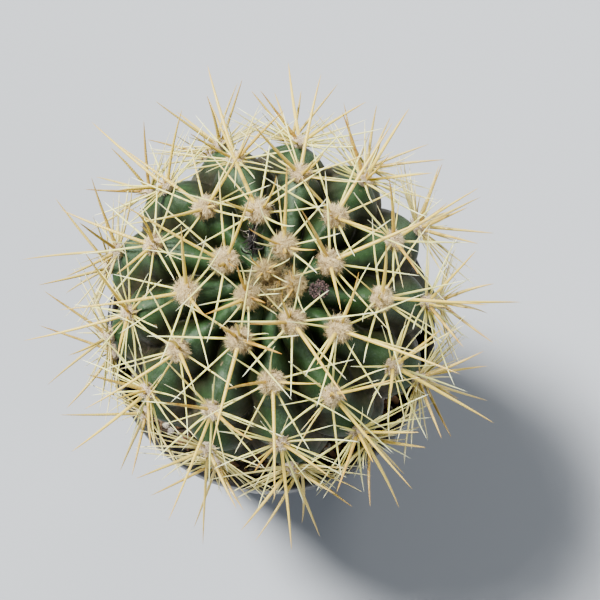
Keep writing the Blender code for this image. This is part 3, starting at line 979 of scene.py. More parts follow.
class Surface:
    """One Principled material and the nodes that drive it."""

    def __init__(self, name: str, groups: Groups) -> None:
        """Start a material.

        Args:
            name: The material's name.
            groups: The shared effects.
        """
        self.material = bpy.data.materials.new(name)
        self.material.use_nodes = True
        self.tree = self.material.node_tree
        self.groups = groups
        self.shader = self.tree.nodes["Principled BSDF"]

    def fix(self, label: str, value: float | Triple) -> None:
        """Set a shader input that is the same all over."""
        self.shader.inputs[label].default_value = value

    def link(self, output: Socket, label: str) -> None:
        """Drive a shader input from a socket."""
        self.tree.links.new(output, self.shader.inputs[label])

    def value(self, name: str) -> Socket:
        """Read a point value of the mesh.

        Args:
            name: Name of the mesh attribute.

        Returns:
            Its number socket.
        """
        node = self.tree.nodes.new("ShaderNodeAttribute")
        node.attribute_name = name
        return node.outputs["Fac"]

    def maths(self, operation: str, first: Socket, second: Socket | float | None = None) -> Socket:
        """Combine two numbers or sockets.

        Args:
            operation: Name of the Math operation.
            first: A socket.
            second: A socket, a number or None.

        Returns:
            The result socket.
        """
        node = self.tree.nodes.new("ShaderNodeMath")
        node.operation = operation
        self.tree.links.new(first, node.inputs[0])
        if isinstance(second, Socket):
            self.tree.links.new(second, node.inputs[1])
        elif second is not None:
            node.inputs[1].default_value = second
        return node.outputs["Value"]

    def times(self, first: Socket, second: Socket | float) -> Socket:
        """Return the product of two masks."""
        return self.maths("MULTIPLY", first, second)

    def plus(self, first: Socket, second: Socket | float) -> Socket:
        """Return the sum of two masks."""
        return self.maths("ADD", first, second)

    def span(self, source: Socket, low: float, high: float, start: float = 0.0, end: float = 1.0) -> Socket:
        """Map a number smoothly from one range to another.

        Args:
            source: The number.
            low: Value that gives start.
            high: Value that gives end.
            start: First result.
            end: Last result.

        Returns:
            The mapped socket.
        """
        node = self.tree.nodes.new("ShaderNodeMapRange")
        node.interpolation_type = "SMOOTHSTEP"
        self.tree.links.new(source, node.inputs["Value"])
        node.inputs["From Min"].default_value = low
        node.inputs["From Max"].default_value = high
        node.inputs["To Min"].default_value = start
        node.inputs["To Max"].default_value = end
        return node.outputs["Result"]

    def mix(self, share: Socket, first: Socket | Colour, second: Socket | Colour) -> Socket:
        """Mix two colours.

        Args:
            share: How much of the second colour shows.
            first: A colour or a socket.
            second: A colour or a socket.

        Returns:
            The colour socket.
        """
        node = self.tree.nodes.new("ShaderNodeMix")
        node.data_type = "RGBA"
        self.tree.links.new(share, node.inputs["Factor"])
        for label, item in (("A", first), ("B", second)):
            socket = next(s for s in node.inputs if s.name == label and s.type == "RGBA")
            if isinstance(item, Socket):
                self.tree.links.new(item, socket)
            else:
                socket.default_value = (*item, 1.0)
        return next(s for s in node.outputs if s.type == "RGBA")

    def effect(self, group: bpy.types.NodeTree, output: str, **settings: float) -> Socket:
        """Use a shared node group.

        Args:
            group: The group.
            output: Name of the output wanted.
            **settings: Values of its inputs.

        Returns:
            The output socket.
        """
        node = self.tree.nodes.new("ShaderNodeGroup")
        node.node_tree = group
        for label, value in settings.items():
            node.inputs[label].default_value = value
        return node.outputs[output]

    def mottle(self, scale: float, low: float, high: float) -> Socket:
        """Return cloudy patches of this scale between two thresholds."""
        return self.effect(self.groups.mottle, "Mask", Scale=scale, Low=low, High=high)

    def speckle(self, scale: float, size: float) -> Socket:
        """Return small dots of this scale and size."""
        return self.effect(self.groups.speckle, "Mask", Scale=scale, Size=size)

    def vary_gloss(self, scale: float, smooth: float, rough: float) -> None:
        """Let the roughness wander between two values in cloudy patches."""
        self.link(self.span(self.mottle(scale, 0.3, 0.7), 0.0, 1.0, smooth, rough), "Roughness")

    def glow(self, weight: float, radius: Triple, scale: float) -> None:
        """Let light soak in.

        Args:
            weight: Share of light that soaks in.
            radius: Reach of red, green and blue against each other.
            scale: The reach in metres.
        """
        self.fix("Subsurface Weight", weight)
        self.fix("Subsurface Radius", radius)
        self.fix("Subsurface Scale", scale)

    def coat(self, share: Socket, first: Socket | Colour, second: Socket | Colour) -> None:
        """Colour the surface with two colours and the share of the second."""
        self.link(self.mix(share, first, second), "Base Color")

    def cloud(self, scale: float, low: float, high: float, weight: float) -> Socket:
        """Cloudy patches that never fall to 0.

        Args:
            scale: Their scale.
            low: Threshold where they start.
            high: Threshold where they reach 1.
            weight: How far they fall short of 1 between patches.

        Returns:
            The mask.
        """
        return self.plus(self.times(self.mottle(scale, low, high), weight), round(1.0 - weight, 6))

    def roughen(self, coarse: float, fine: float, strength: float, depth: float) -> None:
        """Give the surface a fine noise relief.

        Args:
            coarse: Scale of the broad relief.
            fine: Scale of the small relief.
            strength: How much of the relief shows.
            depth: Its depth in metres.
        """
        settings = {"Coarse": coarse, "Fine": fine, "Strength": strength, "Depth": depth}
        self.link(self.effect(self.groups.relief, "Normal", **settings), "Normal")


class Palette:
    """Every material of the plant and its pot."""

    def __init__(self) -> None:
        """Mix all materials."""
        self.groups = Groups()
        self.skin = self._skin(SkinFinish())
        self.radial = {}
        self.central = {}
        for age in Age:
            label = age.name.lower()
            self.radial[age] = self._spine(f"Radial spine {label}", RADIAL_FINISH[age], 0.5)
            self.central[age] = self._spine(f"Central spine {label}", CENTRAL_FINISH[age], 1.0)
        self.wool = self._wool()
        self.plastic = self._plastic(PlasticFinish())
        earth = EarthFinish()
        self.peat = self._peat(earth)
        self.grains = {
            Grain.BARK: self._grain("Bark chips", earth.bark_dark, earth.bark_light, 0.85),
            Grain.PERLITE: self._grain("Perlite", earth.perlite_shade, earth.perlite_light, 0.95),
            Grain.GRIT: self._grain("Mineral grit", earth.grit_dark, earth.grit_light, 0.80),
        }
        self.root_bark = self._root(RootFinish())
        dried = DriedFinish()
        self.petal = self._petal(dried)
        self.crumb = self._grain("Dried crumbs", dried.dark, dried.plum, 0.88)

    def _skin(self, finish: SkinFinish) -> bpy.types.Material:
        """Waxy skin, darkest in the furrows as painted shade, lighter on the crests as partly painted light,
        and corky at the foot.

        Args:
            finish: Its colours.

        Returns:
            The material.
        """
        surface = Surface("Cactus skin", self.groups)
        furrow = surface.value("furrow")
        height = surface.value("height")
        # painted shade: the green darkens from crest to furrow; the lighter patches on the crests are partly
        # painted light
        green = surface.mix(surface.span(furrow, 0.92, 0.22), finish.furrow, finish.flesh)
        crest = surface.times(surface.span(furrow, 0.60, 0.05), surface.mottle(190.0, 0.25, 0.70))
        green = surface.mix(crest, green, finish.crest)
        # the furrows of the flanks turn grey-brown with age
        flank = surface.times(surface.span(height, 0.100, 0.078), surface.span(furrow, 0.30, 0.85))
        broken = surface.plus(surface.times(surface.mottle(420.0, 0.34, 0.62), 0.7), 0.1)
        flank = surface.times(flank, broken)
        green = surface.mix(flank, green, finish.weathered)
        # wax bloom and painted highlight lie on the ridges in soft patches broken up by fine grain
        patch = surface.times(surface.mottle(90.0, 0.40, 0.70), surface.span(furrow, 0.70, 0.08))
        grain = surface.cloud(2600.0, 0.36, 0.64, 0.75)
        wax = surface.times(surface.times(patch, grain), 0.58)
        # painted highlight: the bloom colour on the ridge tops also stands in for the light they catch
        waxed_and_highlit = surface.mix(wax, green, finish.bloom_and_highlight)
        # pale breathing pores
        pores = surface.times(surface.speckle(3000.0, 0.30), surface.span(furrow, 0.95, 0.30, 0.05, 0.40))
        dotted = surface.mix(pores, waxed_and_highlit, finish.bloom_and_highlight)
        # small scars and the corky foot
        scar = surface.times(surface.mottle(330.0, 0.665, 0.70), surface.mottle(1900.0, 0.35, 0.60))
        scarred = surface.mix(surface.times(scar, 0.70), dotted, finish.cork)
        patchy = surface.cloud(230.0, 0.30, 0.72, 0.8)
        foot = surface.times(surface.span(height, 0.077, 0.058), patchy)
        foot = surface.times(foot, surface.cloud(1500.0, 0.30, 0.70, 0.6))
        surface.coat(foot, scarred, finish.cork)
        worn = surface.plus(surface.times(wax, 0.45), surface.times(foot, 0.5))
        surface.link(surface.span(worn, 0.0, 0.6, finish.roughness, 0.72), "Roughness")
        surface.glow(finish.subsurface, (0.3, 1.0, 0.2), 0.0012)
        surface.fix("Specular IOR Level", 0.24)
        surface.roughen(700.0, 3600.0, 0.55, 0.00030)
        return surface.material

    def _spine(self, name: str, finish: SpineFinish, rings: float) -> bpy.types.Material:
        """Horny spine with faint growth rings and a translucent point.

        Args:
            name: The material's name.
            finish: Its colours.
            rings: How strongly the growth rings show.

        Returns:
            The material.
        """
        surface = Surface(name, self.groups)
        run = surface.value("run")
        tone = surface.value("tone")
        shaft = surface.mix(surface.span(run, 0.0, 0.30), finish.root, finish.shaft)
        pale = surface.mix(surface.span(run, 0.55, 0.98), shaft, finish.point)
        warm = surface.times(surface.span(tone, 0.35, 1.0), surface.mottle(420.0, 0.25, 0.75))
        surface.coat(warm, pale, finish.deep)
        ring = surface.maths("SINE", surface.times(surface.value("reach"), 11000.0))
        bump = surface.tree.nodes.new("ShaderNodeBump")
        bump.inputs["Strength"].default_value = 0.22 * rings
        bump.inputs["Distance"].default_value = 0.00008
        surface.tree.links.new(ring, bump.inputs["Height"])
        surface.link(bump.outputs["Normal"], "Normal")
        surface.vary_gloss(700.0, finish.roughness - 0.08, finish.roughness + 0.10)
        surface.glow(0.08, (1.0, 0.7, 0.35), 0.0004)
        return surface.material

    def _wool(self) -> bpy.types.Material:
        """Areole wool, tan when young and white when old, with painted shade deep in the wool and on the
        pads' lower sides.

        Returns:
            The material.
        """
        surface = Surface("Areole wool", self.groups)
        young, grown, old = (WOOL_FINISH[age] for age in Age)
        age = surface.value("age")
        from_young = surface.span(age, 0.0, 0.10)
        to_old = surface.span(age, 0.22, 0.58)
        shade = surface.mix(to_old, surface.mix(from_young, young.shade, grown.shade), old.shade)
        light = surface.mix(to_old, surface.mix(from_young, young.light, grown.light), old.light)
        # painted shade: each hair is darker towards its root, deep in the wool, and lighter towards its tip
        out = surface.span(surface.value("run"), 0.0, 0.60, 0.36, 1.0)
        lit = surface.times(out, surface.span(surface.value("tone"), 0.0, 0.80, 0.16, 1.0))
        share = surface.times(lit, surface.cloud(900.0, 0.20, 0.50, 0.35))
        surface.coat(share, shade, light)
        surface.fix("Sheen Weight", 0.35)
        surface.fix("Sheen Tint", (1.0, 0.80, 0.50, 1.0))
        surface.glow(0.15, (1.0, 0.8, 0.6), 0.0004)
        surface.vary_gloss(1500.0, grown.roughness - 0.08, grown.roughness + 0.06)
        surface.roughen(1800.0, 6000.0, 0.5, 0.0002)
        return surface.material

    def _plastic(self, finish: PlasticFinish) -> bpy.types.Material:
        """Black pot plastic with scuffs, splashed earth at the foot and dust on the rim.

        Args:
            finish: Its colours.

        Returns:
            The material.
        """
        surface = Surface("Pot plastic", self.groups)
        height = surface.value("height")
        scuff = surface.times(surface.mottle(60.0, 0.48, 0.72), surface.mottle(900.0, 0.40, 0.62))
        worn = surface.mix(surface.times(scuff, 0.6), finish.base, finish.worn)
        low = surface.times(surface.span(height, 0.016, 0.0), surface.mottle(260.0, 0.45, 0.75))
        top = surface.times(surface.span(height, 0.058, 0.066), surface.mottle(340.0, 0.46, 0.80))
        grain = surface.cloud(1700.0, 0.36, 0.64, 0.8)
        dust = surface.times(surface.times(surface.plus(low, top), grain), 0.30)
        surface.coat(dust, worn, finish.dust)
        rough = surface.span(surface.plus(scuff, dust), 0.0, 1.0, finish.roughness - 0.08, 0.75)
        surface.link(rough, "Roughness")
        surface.fix("Specular IOR Level", 0.34)
        surface.roughen(900.0, 4200.0, 0.22, 0.00008)
        return surface.material

    def _peat(self, finish: EarthFinish) -> bpy.types.Material:
        """Dark crumbly peat with paler fibres.

        Args:
            finish: Its colours.

        Returns:
            The material.
        """
        surface = Surface("Potting mix", self.groups)
        fibre = surface.times(surface.mottle(700.0, 0.45, 0.66), surface.mottle(190.0, 0.35, 0.65))
        surface.coat(fibre, finish.peat, finish.fibre)
        surface.vary_gloss(500.0, 0.86, 1.0)
        surface.roughen(900.0, 3200.0, 0.9, 0.0006)
        return surface.material

    def _grain(self, name: str, dark: Colour, light: Colour, roughness: float) -> bpy.types.Material:
        """Loose grains, each with its own tone.

        Args:
            name: The material's name.
            dark: Colour of the darkest grain.
            light: Colour of the lightest grain.
            roughness: Mean roughness.

        Returns:
            The material.
        """
        surface = Surface(name, self.groups)
        own = surface.times(surface.value("tone"), 0.65)
        share = surface.plus(own, surface.times(surface.mottle(1500.0, 0.35, 0.65), 0.35))
        surface.coat(share, dark, light)
        surface.vary_gloss(800.0, roughness - 0.12, min(1.0, roughness + 0.05))
        surface.roughen(1600.0, 5200.0, 0.6, 0.0003)
        return surface.material

    def _petal(self, finish: DriedFinish) -> bpy.types.Material:
        """Withered petals with pale torn fibres.

        Args:
            finish: Its colours.

        Returns:
            The material.
        """
        surface = Surface("Dried petals", self.groups)
        share = surface.times(surface.value("tone"), surface.mottle(1300.0, 0.15, 0.45))
        surface.coat(share, finish.dark, finish.shred)
        surface.fix("Specular IOR Level", 0.25)
        surface.vary_gloss(900.0, 0.70, 0.92)
        surface.roughen(1800.0, 5200.0, 0.6, 0.0002)
        return surface.material

    def _root(self, finish: RootFinish) -> bpy.types.Material:
        """Corky root bark.

        Args:
            finish: Its colours.

        Returns:
            The material.
        """
        surface = Surface("Root bark", self.groups)
        surface.coat(surface.mottle(300.0, 0.35, 0.65), finish.dark, finish.light)
        surface.vary_gloss(500.0, 0.78, 0.95)
        surface.roughen(500.0, 2200.0, 0.8, 0.0006)
        return surface.material


# ---- sub-assemblies -------------------------------------------------------------------


@dataclass
class StemLook:
    """The ribbed green globe."""

    growth: Growth
    palette: Palette
    columns_per_rib: int = 32
    rows: int = 210
    fold_depth: float = 0.00013
    young_count: int = 16
    young_width: float = 0.0036
    young_depth: float = 0.0017

    def build(self, areoles: list[Areole]) -> bpy.types.Object:
        """Shape the skin with its ribs, tubercles and fine folds.

        Args:
            areoles: The cushions, whose seats the skin rises to.

        Returns:
            The stem piece.
        """
        growth = self.growth
        columns = growth.ribs * self.columns_per_rib
        polar = np.linspace(0.0, math.pi, self.rows + 1)[1:-1]
        turn = np.arange(columns) * math.tau / columns
        grid_polar = np.repeat(polar, columns)
        grid_turn = np.tile(turn, len(polar)) + growth.first_azimuth + growth.twist(grid_polar)
        grid_polar = np.concatenate([[1e-4], grid_polar, [math.pi - 1e-4]])
        grid_turn = np.concatenate([[0.0], grid_turn, [0.0]])
        point, normal = growth.globe(grid_turn, grid_polar)
        inset, furrow = growth.relief(grid_turn, grid_polar)
        inset = inset + self._tubercles(point, areoles, grid_polar)
        spots = [Vector(p) for p in point]
        fold = np.array([noise.noise(spot * 210.0) + 0.5 * noise.noise(spot * 520.0) for spot in spots])
        inset = inset + self.fold_depth * fold
        skin = moved(growth.frame(), point - normal * inset[:, None])
        batch = MeshBatch()
        batch.add(skin, ball_faces(len(polar), columns), furrow=furrow, height=skin[:, 2])
        return settle(batch.build("stem_skin", [self.palette.skin]), "skin", "stem")

    def _tubercles(self, points: np.ndarray, areoles: list[Areole], polar: np.ndarray) -> np.ndarray:
        """Extra depth between the young tubercles round the growing point.

        Args:
            points: Points of the smooth globe.
            areoles: All areoles.
            polar: Polar angle of each point.

        Returns:
            The depth at each point.
        """
        closeness = np.zeros(len(points))
        for areole in areoles:
            if areole.number <= self.young_count:
                distance = np.linalg.norm(points - self.growth.point_of(areole.number), axis=1)
                closeness = np.maximum(closeness, np.exp(-((distance / self.young_width) ** 2)))
        zone = 1.0 - ease(0.35, 0.75, polar)
        return self.young_depth * (1.0 - closeness) * zone


@dataclass
class AreoleLook:
    """Wool, hairs and spines of one areole."""

    areole: Areole
    palette: Palette
    tufts: int = 60
    per_tuft: int = 15
    hair_radius: float = 0.000027
    hair_length: Range = (0.28, 0.50)  # share of the pad's radius
    dome_middle: float = 0.26  # share of the pad's height
    radial_radius: float = 0.00023
    central_radius: float = 0.00036
    nub_radius: float = 0.00014
    slender_count: int = 10
    slender_radius: float = 0.00017
    nub_length: Range = (0.0014, 0.0030)
    slender_length: Range = (0.0080, 0.0135)
    slender_rise: Range = (8.0, 30.0)
    short_central: float = 0.0145
    rim_level: float = 0.0646  # just clear of the pot's rim
    rim_reach: float = 0.0378

    def build(self) -> bpy.types.Object:
        """Make the piece that stands for the areole's CAD cluster.

        Returns:
            The areole piece.
        """
        rng = random.Random(Seed.CUSHION + self.areole.index)
        batch = MeshBatch()
        self._cushion(batch, rng)
        self._hairs(batch)
        self._spines(batch, rng)
        self._nubs(batch, rng)
        self._slender(batch, rng)
        age = self.areole.age
        materials = [self.palette.wool, self.palette.radial[age], self.palette.central[age]]
        node = self.areole.node.name
        return settle(batch.build(f"{node}_look", materials), age.value, node)

    @property
    def brightness(self) -> float:
        """Return how much paler than usual its wool is, below 0 for browner."""
        return random.Random(Seed.BRIGHTNESS + self.areole.index).uniform(-0.32, 0.34)

    @property
    def years(self) -> float:
        """Return the age as a share, 0 at the growing point."""
        return (self.areole.number + 1.0) / (self.areole.growth.last_areole + 1.0)

    def _place(self, points: np.ndarray) -> np.ndarray:
        """Move points from the areole's frame into the part's frame."""
        return moved(self.areole.frame, points)

    def _dome(self, points: np.ndarray, wide: float, high: float) -> np.ndarray:
        """Fit points of a unit ball to the cushion.

        Args:
            points: The points, one row each.
            wide: Half width as a share of the pad's radius.
            high: Half height as a share of the pad's height.

        Returns:
            The points in the areole's frame.
        """
        radius, top = self.areole.pad
        half = np.array([radius * wide, radius * wide, top * high])
        return points * half + np.array([0.0, 0.0, top * self.dome_middle])

    def _cushion(self, batch: MeshBatch, rng: random.Random) -> None:
        """Felted dome under the loose hairs.

        Args:
            batch: The mesh to add to.
            rng: Source of chance.
        """
        points, faces = pebble(rng, 1.0, (1.0, 1.0, 1.0), 0.14, 9)
        spots = [Vector(p) for p in points]
        grain = np.array([noise.noise(spot * 4.5) + 0.6 * noise.noise(spot * 9.0) for spot in spots])
        points = self._place(self._dome(points * (1.0 + 0.07 * grain[:, None]), 0.80, 0.56))
        # painted shade: the felt dome under the hairs gets low run and tone values, so it wears the shade of
        # the hair roots
        batch.add(points, faces, slot=0, run=0.30, tone=0.30, reach=0.0, age=self.years)

    def _hairs(self, batch: MeshBatch) -> None:
        """Fine curly hairs in tufts all over the cushion.

        Args:
            batch: The mesh to add to.
        """
        chance = np.random.default_rng(Seed.HAIRS + self.areole.index)
        tufts = self.tufts if self.areole.number < FIRST_SPARSE else self.tufts // 2
        order = np.arange(tufts)
        turn = GOLDEN_ANGLE * order + chance.uniform(-0.3, 0.3, tufts)
        polar = np.arccos(1.0 - 1.14 * (order + chance.random(tufts)) / tufts)
        heading = chance.uniform(0.0, math.tau, tufts)
        tone = chance.random(tufts)
        member = np.repeat(order, self.per_tuft)
        count = len(member)
        loose = chance.random(count) < 0.16
        turn = turn[member] + chance.normal(0.0, 0.12, count) / np.maximum(0.3, np.sin(polar[member]))
        polar = polar[member] + chance.normal(0.0, 0.12, count)
        heading = heading[member] + chance.normal(0.0, 0.7, count)
        heading = heading + loose * chance.uniform(0.0, ANY_TURN, count)
        tone = tone[member] + chance.normal(0.0, 0.14, count) + 0.4 * loose
        # painted shade: hairs further down the sides of the pad are darker, as if lit from above; the rest
        # of the tone varies at random
        tone = np.clip(1.3 * tone + self.brightness + 0.30 - 0.38 * polar**2, 0.0, 1.0)
        out = np.stack([np.sin(polar) * np.cos(turn), np.sin(polar) * np.sin(turn), np.cos(polar)], -1)
        root = self._dome(out, 0.68, 0.46)
        length = self.areole.pad[0] * chance.uniform(*self.hair_length, count)
        length = length * np.where(chance.random(count) < 0.08, 1.6, 1.0)
        curl = chance.uniform(0.1, 0.9, count)
        path = curly(root, out, turn, heading, length, curl, 5)
        points, faces = strands(path, self.hair_radius, np.array([1.1, 1.0, 0.9, 0.7]))
        run = np.tile(along(np.linspace(0.0, 1.0, 5), 3), count)
        tone = np.repeat(tone, len(points) // count)
        batch.add(self._place(points), faces, slot=0, run=run, tone=tone, reach=0.0, age=self.years)

    def _spines(self, batch: MeshBatch, rng: random.Random) -> None:
        """Radial and central spines along the CAD cluster's own lines.

        Args:
            batch: The mesh to add to.
            rng: Source of chance.
        """
        radius, top = self.areole.pad
        out = np.array(self.areole.frame.to_3x3() @ Vector((0.0, 0.0, 1.0)))
        centre = np.array(self.areole.frame.translation) + out * top * 0.35
        for spine in self.areole.spines:
            central = spine.central
            width = self.central_radius if central else self.radial_radius
            width *= rng.uniform(0.88, 1.12) * min(1.0, 0.36 + spine.length / 0.016)
            inward = centre - spine.root
            distance = float(np.linalg.norm(inward))
            reach = max(0.0, distance - 0.35 * radius)
            grown = Spine(central, spine.root + inward / distance * reach, spine.middle, spine.tip)
            steps = 22 if central else 15
            path = grown.path(steps, rng.uniform(0.0, 0.00035), rng.uniform(0.0, ANY_TURN))
            t = np.linspace(0.0, 1.0, steps + 1)
            radii = width * np.clip(1.0 - t**1.7, 0.0, 1.0) ** 0.74 * (1.0 + 0.25 * np.exp(-t / 0.06))
            sides = 9 if central else 7
            points, faces = tube(path, radii, sides, flat=rng.uniform(0.72, 0.95))
            if central:
                short = spine.length < self.short_central
                tone = rng.uniform(0.30, 0.95) if short else rng.uniform(0.0, 0.45)
            else:
                tone = rng.random() ** 2.0
            values = self._along(t, sides, grown.length)
            batch.add(points, faces, slot=2 if central else 1, tone=tone, **values)

    def _nubs(self, batch: MeshBatch, rng: random.Random) -> None:
        """Short brown spinelets at the upper edge of the cushion.

        Args:
            batch: The mesh to add to.
            rng: Source of chance.
        """
        radius, top = self.areole.pad
        for _ in range(rng.randint(1, 3)):
            out = lifted(rng.uniform(0.35, 2.8), rng.uniform(0.6, 1.2))
            root = np.array([out[0] * radius * 0.45, out[1] * radius * 0.45, top * 0.62])
            length = rng.uniform(*self.nub_length)
            t = np.linspace(0.0, 1.0, 8)
            points, faces = tube(root + out * length * t[:, None], self.nub_radius * (1.0 - t**2) ** 0.7, 6)
            batch.add(self._place(points), faces, slot=2, tone=0.8, **self._along(t, 6, length))

    def _slender(self, batch: MeshBatch, rng: random.Random) -> None:
        """Thin extra radials that weave over the flanks from the older areoles.

        One that would reach the pot or the mix is left out.

        Args:
            batch: The mesh to add to.
            rng: Source of chance.
        """
        radius, top = self.areole.pad
        count = round(self.slender_count * float(ease(9.0, 24.0, self.areole.number)))
        start = rng.uniform(0.0, ANY_TURN)
        for k in range(count):
            turn = start + math.tau * (k + rng.uniform(-0.35, 0.35)) / count
            out = lifted(turn, math.radians(rng.uniform(*self.slender_rise)))
            side = np.array([-math.sin(turn), math.cos(turn), 0.0])
            root = np.array([math.cos(turn) * radius * 0.5, math.sin(turn) * radius * 0.5, top * 0.32])
            length = rng.uniform(*self.slender_length)
            t = np.linspace(0.0, 1.0, 12)
            path = root + out * length * t[:, None]
            path = path + side * length * rng.uniform(-0.10, 0.10) * t[:, None] ** 2
            path[:, 2] -= length * rng.uniform(0.02, 0.10) * t**2
            points, faces = tube(path, self.slender_radius * (1.0 - t**1.7) ** 0.74, 6)
            points = self._place(points)
            tone = 0.25 + 0.75 * rng.random()
            beside = np.hypot(points[:, 0], points[:, 1]) > self.rim_reach
            if np.all(beside | (points[:, 2] > self.rim_level)):
                batch.add(points, faces, slot=1, tone=tone, **self._along(t, 6, length))

    def _along(self, t: np.ndarray, sides: int, length: float) -> dict[str, np.ndarray | float]:
        """Point values of a spine whose rings stand at t.

        Args:
            t: Share of the way to the tip, ring by ring.
            sides: Points in each ring.
            length: The spine's length.

        Returns:
            The share of the way, the distance from the root and the age.
        """
        run = along(t, sides)
        return {"run": run, "reach": run * length, "age": self.years}


@dataclass
class FootLook:
    """Worn areoles below the last spiny lap, with dark felt and broken stubs."""

    growth: Growth
    palette: Palette
    first: int = 51
    last: int = 62
    felt_radius: float = 0.0011
    felt_depth: float = 0.0005
    stub_radius: float = 0.00019
    stub_length: Range = (0.0014, 0.0046)

    def build(self) -> bpy.types.Object:
        """Make all worn areoles as one piece.

        Returns:
            The piece.
        """
        rng = random.Random(Seed.FOOT)
        batch = MeshBatch()
        growth = self.growth
        for number in range(self.first, self.last + 1):
            beyond = math.radians(growth.foot_step) * (number - growth.last_areole)
            polar = growth.polar_of(growth.last_areole) + beyond
            seat, out = growth.seat(growth.azimuth_of(number), polar)
            points, faces = pebble(rng, self.felt_radius * rng.uniform(0.8, 1.1), (1.0, 1.0, 0.7), 0.6, 8)
            points = moved(growth.frame(), points + seat - out * self.felt_depth)
            batch.add(points, faces, slot=0, run=0.0, tone=0.0, reach=0.0, age=1.0)
            first, second = side_axes(out)
            for k in range(rng.randint(5, 7)):
                turn = ANY_TURN * k / 6.0 + rng.uniform(-0.5, 0.5)
                heading = out * rng.uniform(0.3, 1.4) + first * math.cos(turn) + second * math.sin(turn)
                heading /= np.linalg.norm(heading)
                self._stub(batch, seat, heading, rng.uniform(*self.stub_length))
        materials = [self.palette.wool, self.palette.root_bark]
        return settle(batch.build("worn_areoles", materials), Age.OLD.value)

    def _stub(self, batch: MeshBatch, seat: np.ndarray, heading: np.ndarray, length: float) -> None:
        """Spine that has broken off short.

        Args:
            batch: The mesh to add to.
            seat: Where it starts.
            heading: Its unit direction.
            length: Its length.
        """
        t = np.linspace(0.0, 1.0, 6)
        points, faces = tube(seat + heading * length * t[:, None], self.stub_radius * (1.0 - 0.35 * t), 6)
        points[-1] = points[-1] - heading * length * 0.16
        run = along(t, 6) * 0.4
        points = moved(self.growth.frame(), points)
        batch.add(points, faces, slot=1, run=run, tone=0.9, reach=run * length, age=1.0)


@dataclass
class CrownLook:
    """Matted wool and the newest spine tips over the growing point."""

    growth: Growth
    palette: Palette
    hairs: int = 2600
    spinelets: int = 12
    spread: float = 0.17
    hair_radius: float = 0.000030
    hair_length: Range = (0.0014, 0.0030)
    hair_depth: float = 0.0011
    spinelet_radius: float = 0.00012
    spinelet_length: Range = (0.0018, 0.0036)
    spinelet_depth: float = 0.0004
    spinelet_polar: Range = (0.03, 0.16)

    def build(self) -> bpy.types.Object:
        """Make the crown wool.

        Returns:
            The crown piece.
        """
        batch = MeshBatch()
        self._hairs(batch)
        self._spinelets(batch)
        materials = [self.palette.wool, self.palette.central[Age.YOUNG]]
        return settle(batch.build("crown_wool", materials), Age.YOUNG.value)

    def _hairs(self, batch: MeshBatch) -> None:
        """Matted hairs.

        Args:
            batch: The mesh to add to.
        """
        chance = np.random.default_rng(Seed.CROWN)
        count = self.hairs
        polar = self.spread * chance.random(count) ** 0.6
        turn = chance.uniform(0.0, math.tau, count)
        point, normal = self.growth.globe(turn, polar)
        inset = self.growth.relief(turn, polar)[0][:, None]
        heading = chance.uniform(0.0, math.tau, count)
        length = chance.uniform(*self.hair_length, count) * (1.25 - polar / 0.2)
        root = point - normal * (inset + self.hair_depth)
        path = curly(root, normal, turn, heading, length, np.full(count, 0.9), 6)
        points, faces = strands(path, self.hair_radius, np.array([1.0, 1.0, 0.9, 0.8, 0.6]))
        run = np.tile(along(np.linspace(0.0, 1.0, 6), 3), count)
        tone = np.repeat(chance.random(count) * 0.7, len(points) // count)
        points = moved(self.growth.frame(), points)
        batch.add(points, faces, slot=0, run=run, tone=tone, reach=0.0, age=0.0)

    def _spinelets(self, batch: MeshBatch) -> None:
        """Newest spines, which only just stand out of the wool.

        Args:
            batch: The mesh to add to.
        """
        rng = random.Random(Seed.SPINELETS)
        for _ in range(self.spinelets):
            polar = rng.uniform(*self.spinelet_polar)
            root, out = self.growth.seat(rng.uniform(0.0, ANY_TURN), polar, self.spinelet_depth)
            lean = sideways(out, rng.uniform(0.0, ANY_TURN))
            length = rng.uniform(*self.spinelet_length)
            t = np.linspace(0.0, 1.0, 6)
            path = root + (out * length + lean * length * 0.35) * t[:, None]
            points, faces = tube(path, self.spinelet_radius * (1.0 - t**2) ** 0.7, 6)
            run = along(t, 6)
            points = moved(self.growth.frame(), points)
            batch.add(points, faces, slot=1, run=run, tone=rng.random() * 0.6, reach=run * length, age=0.0)


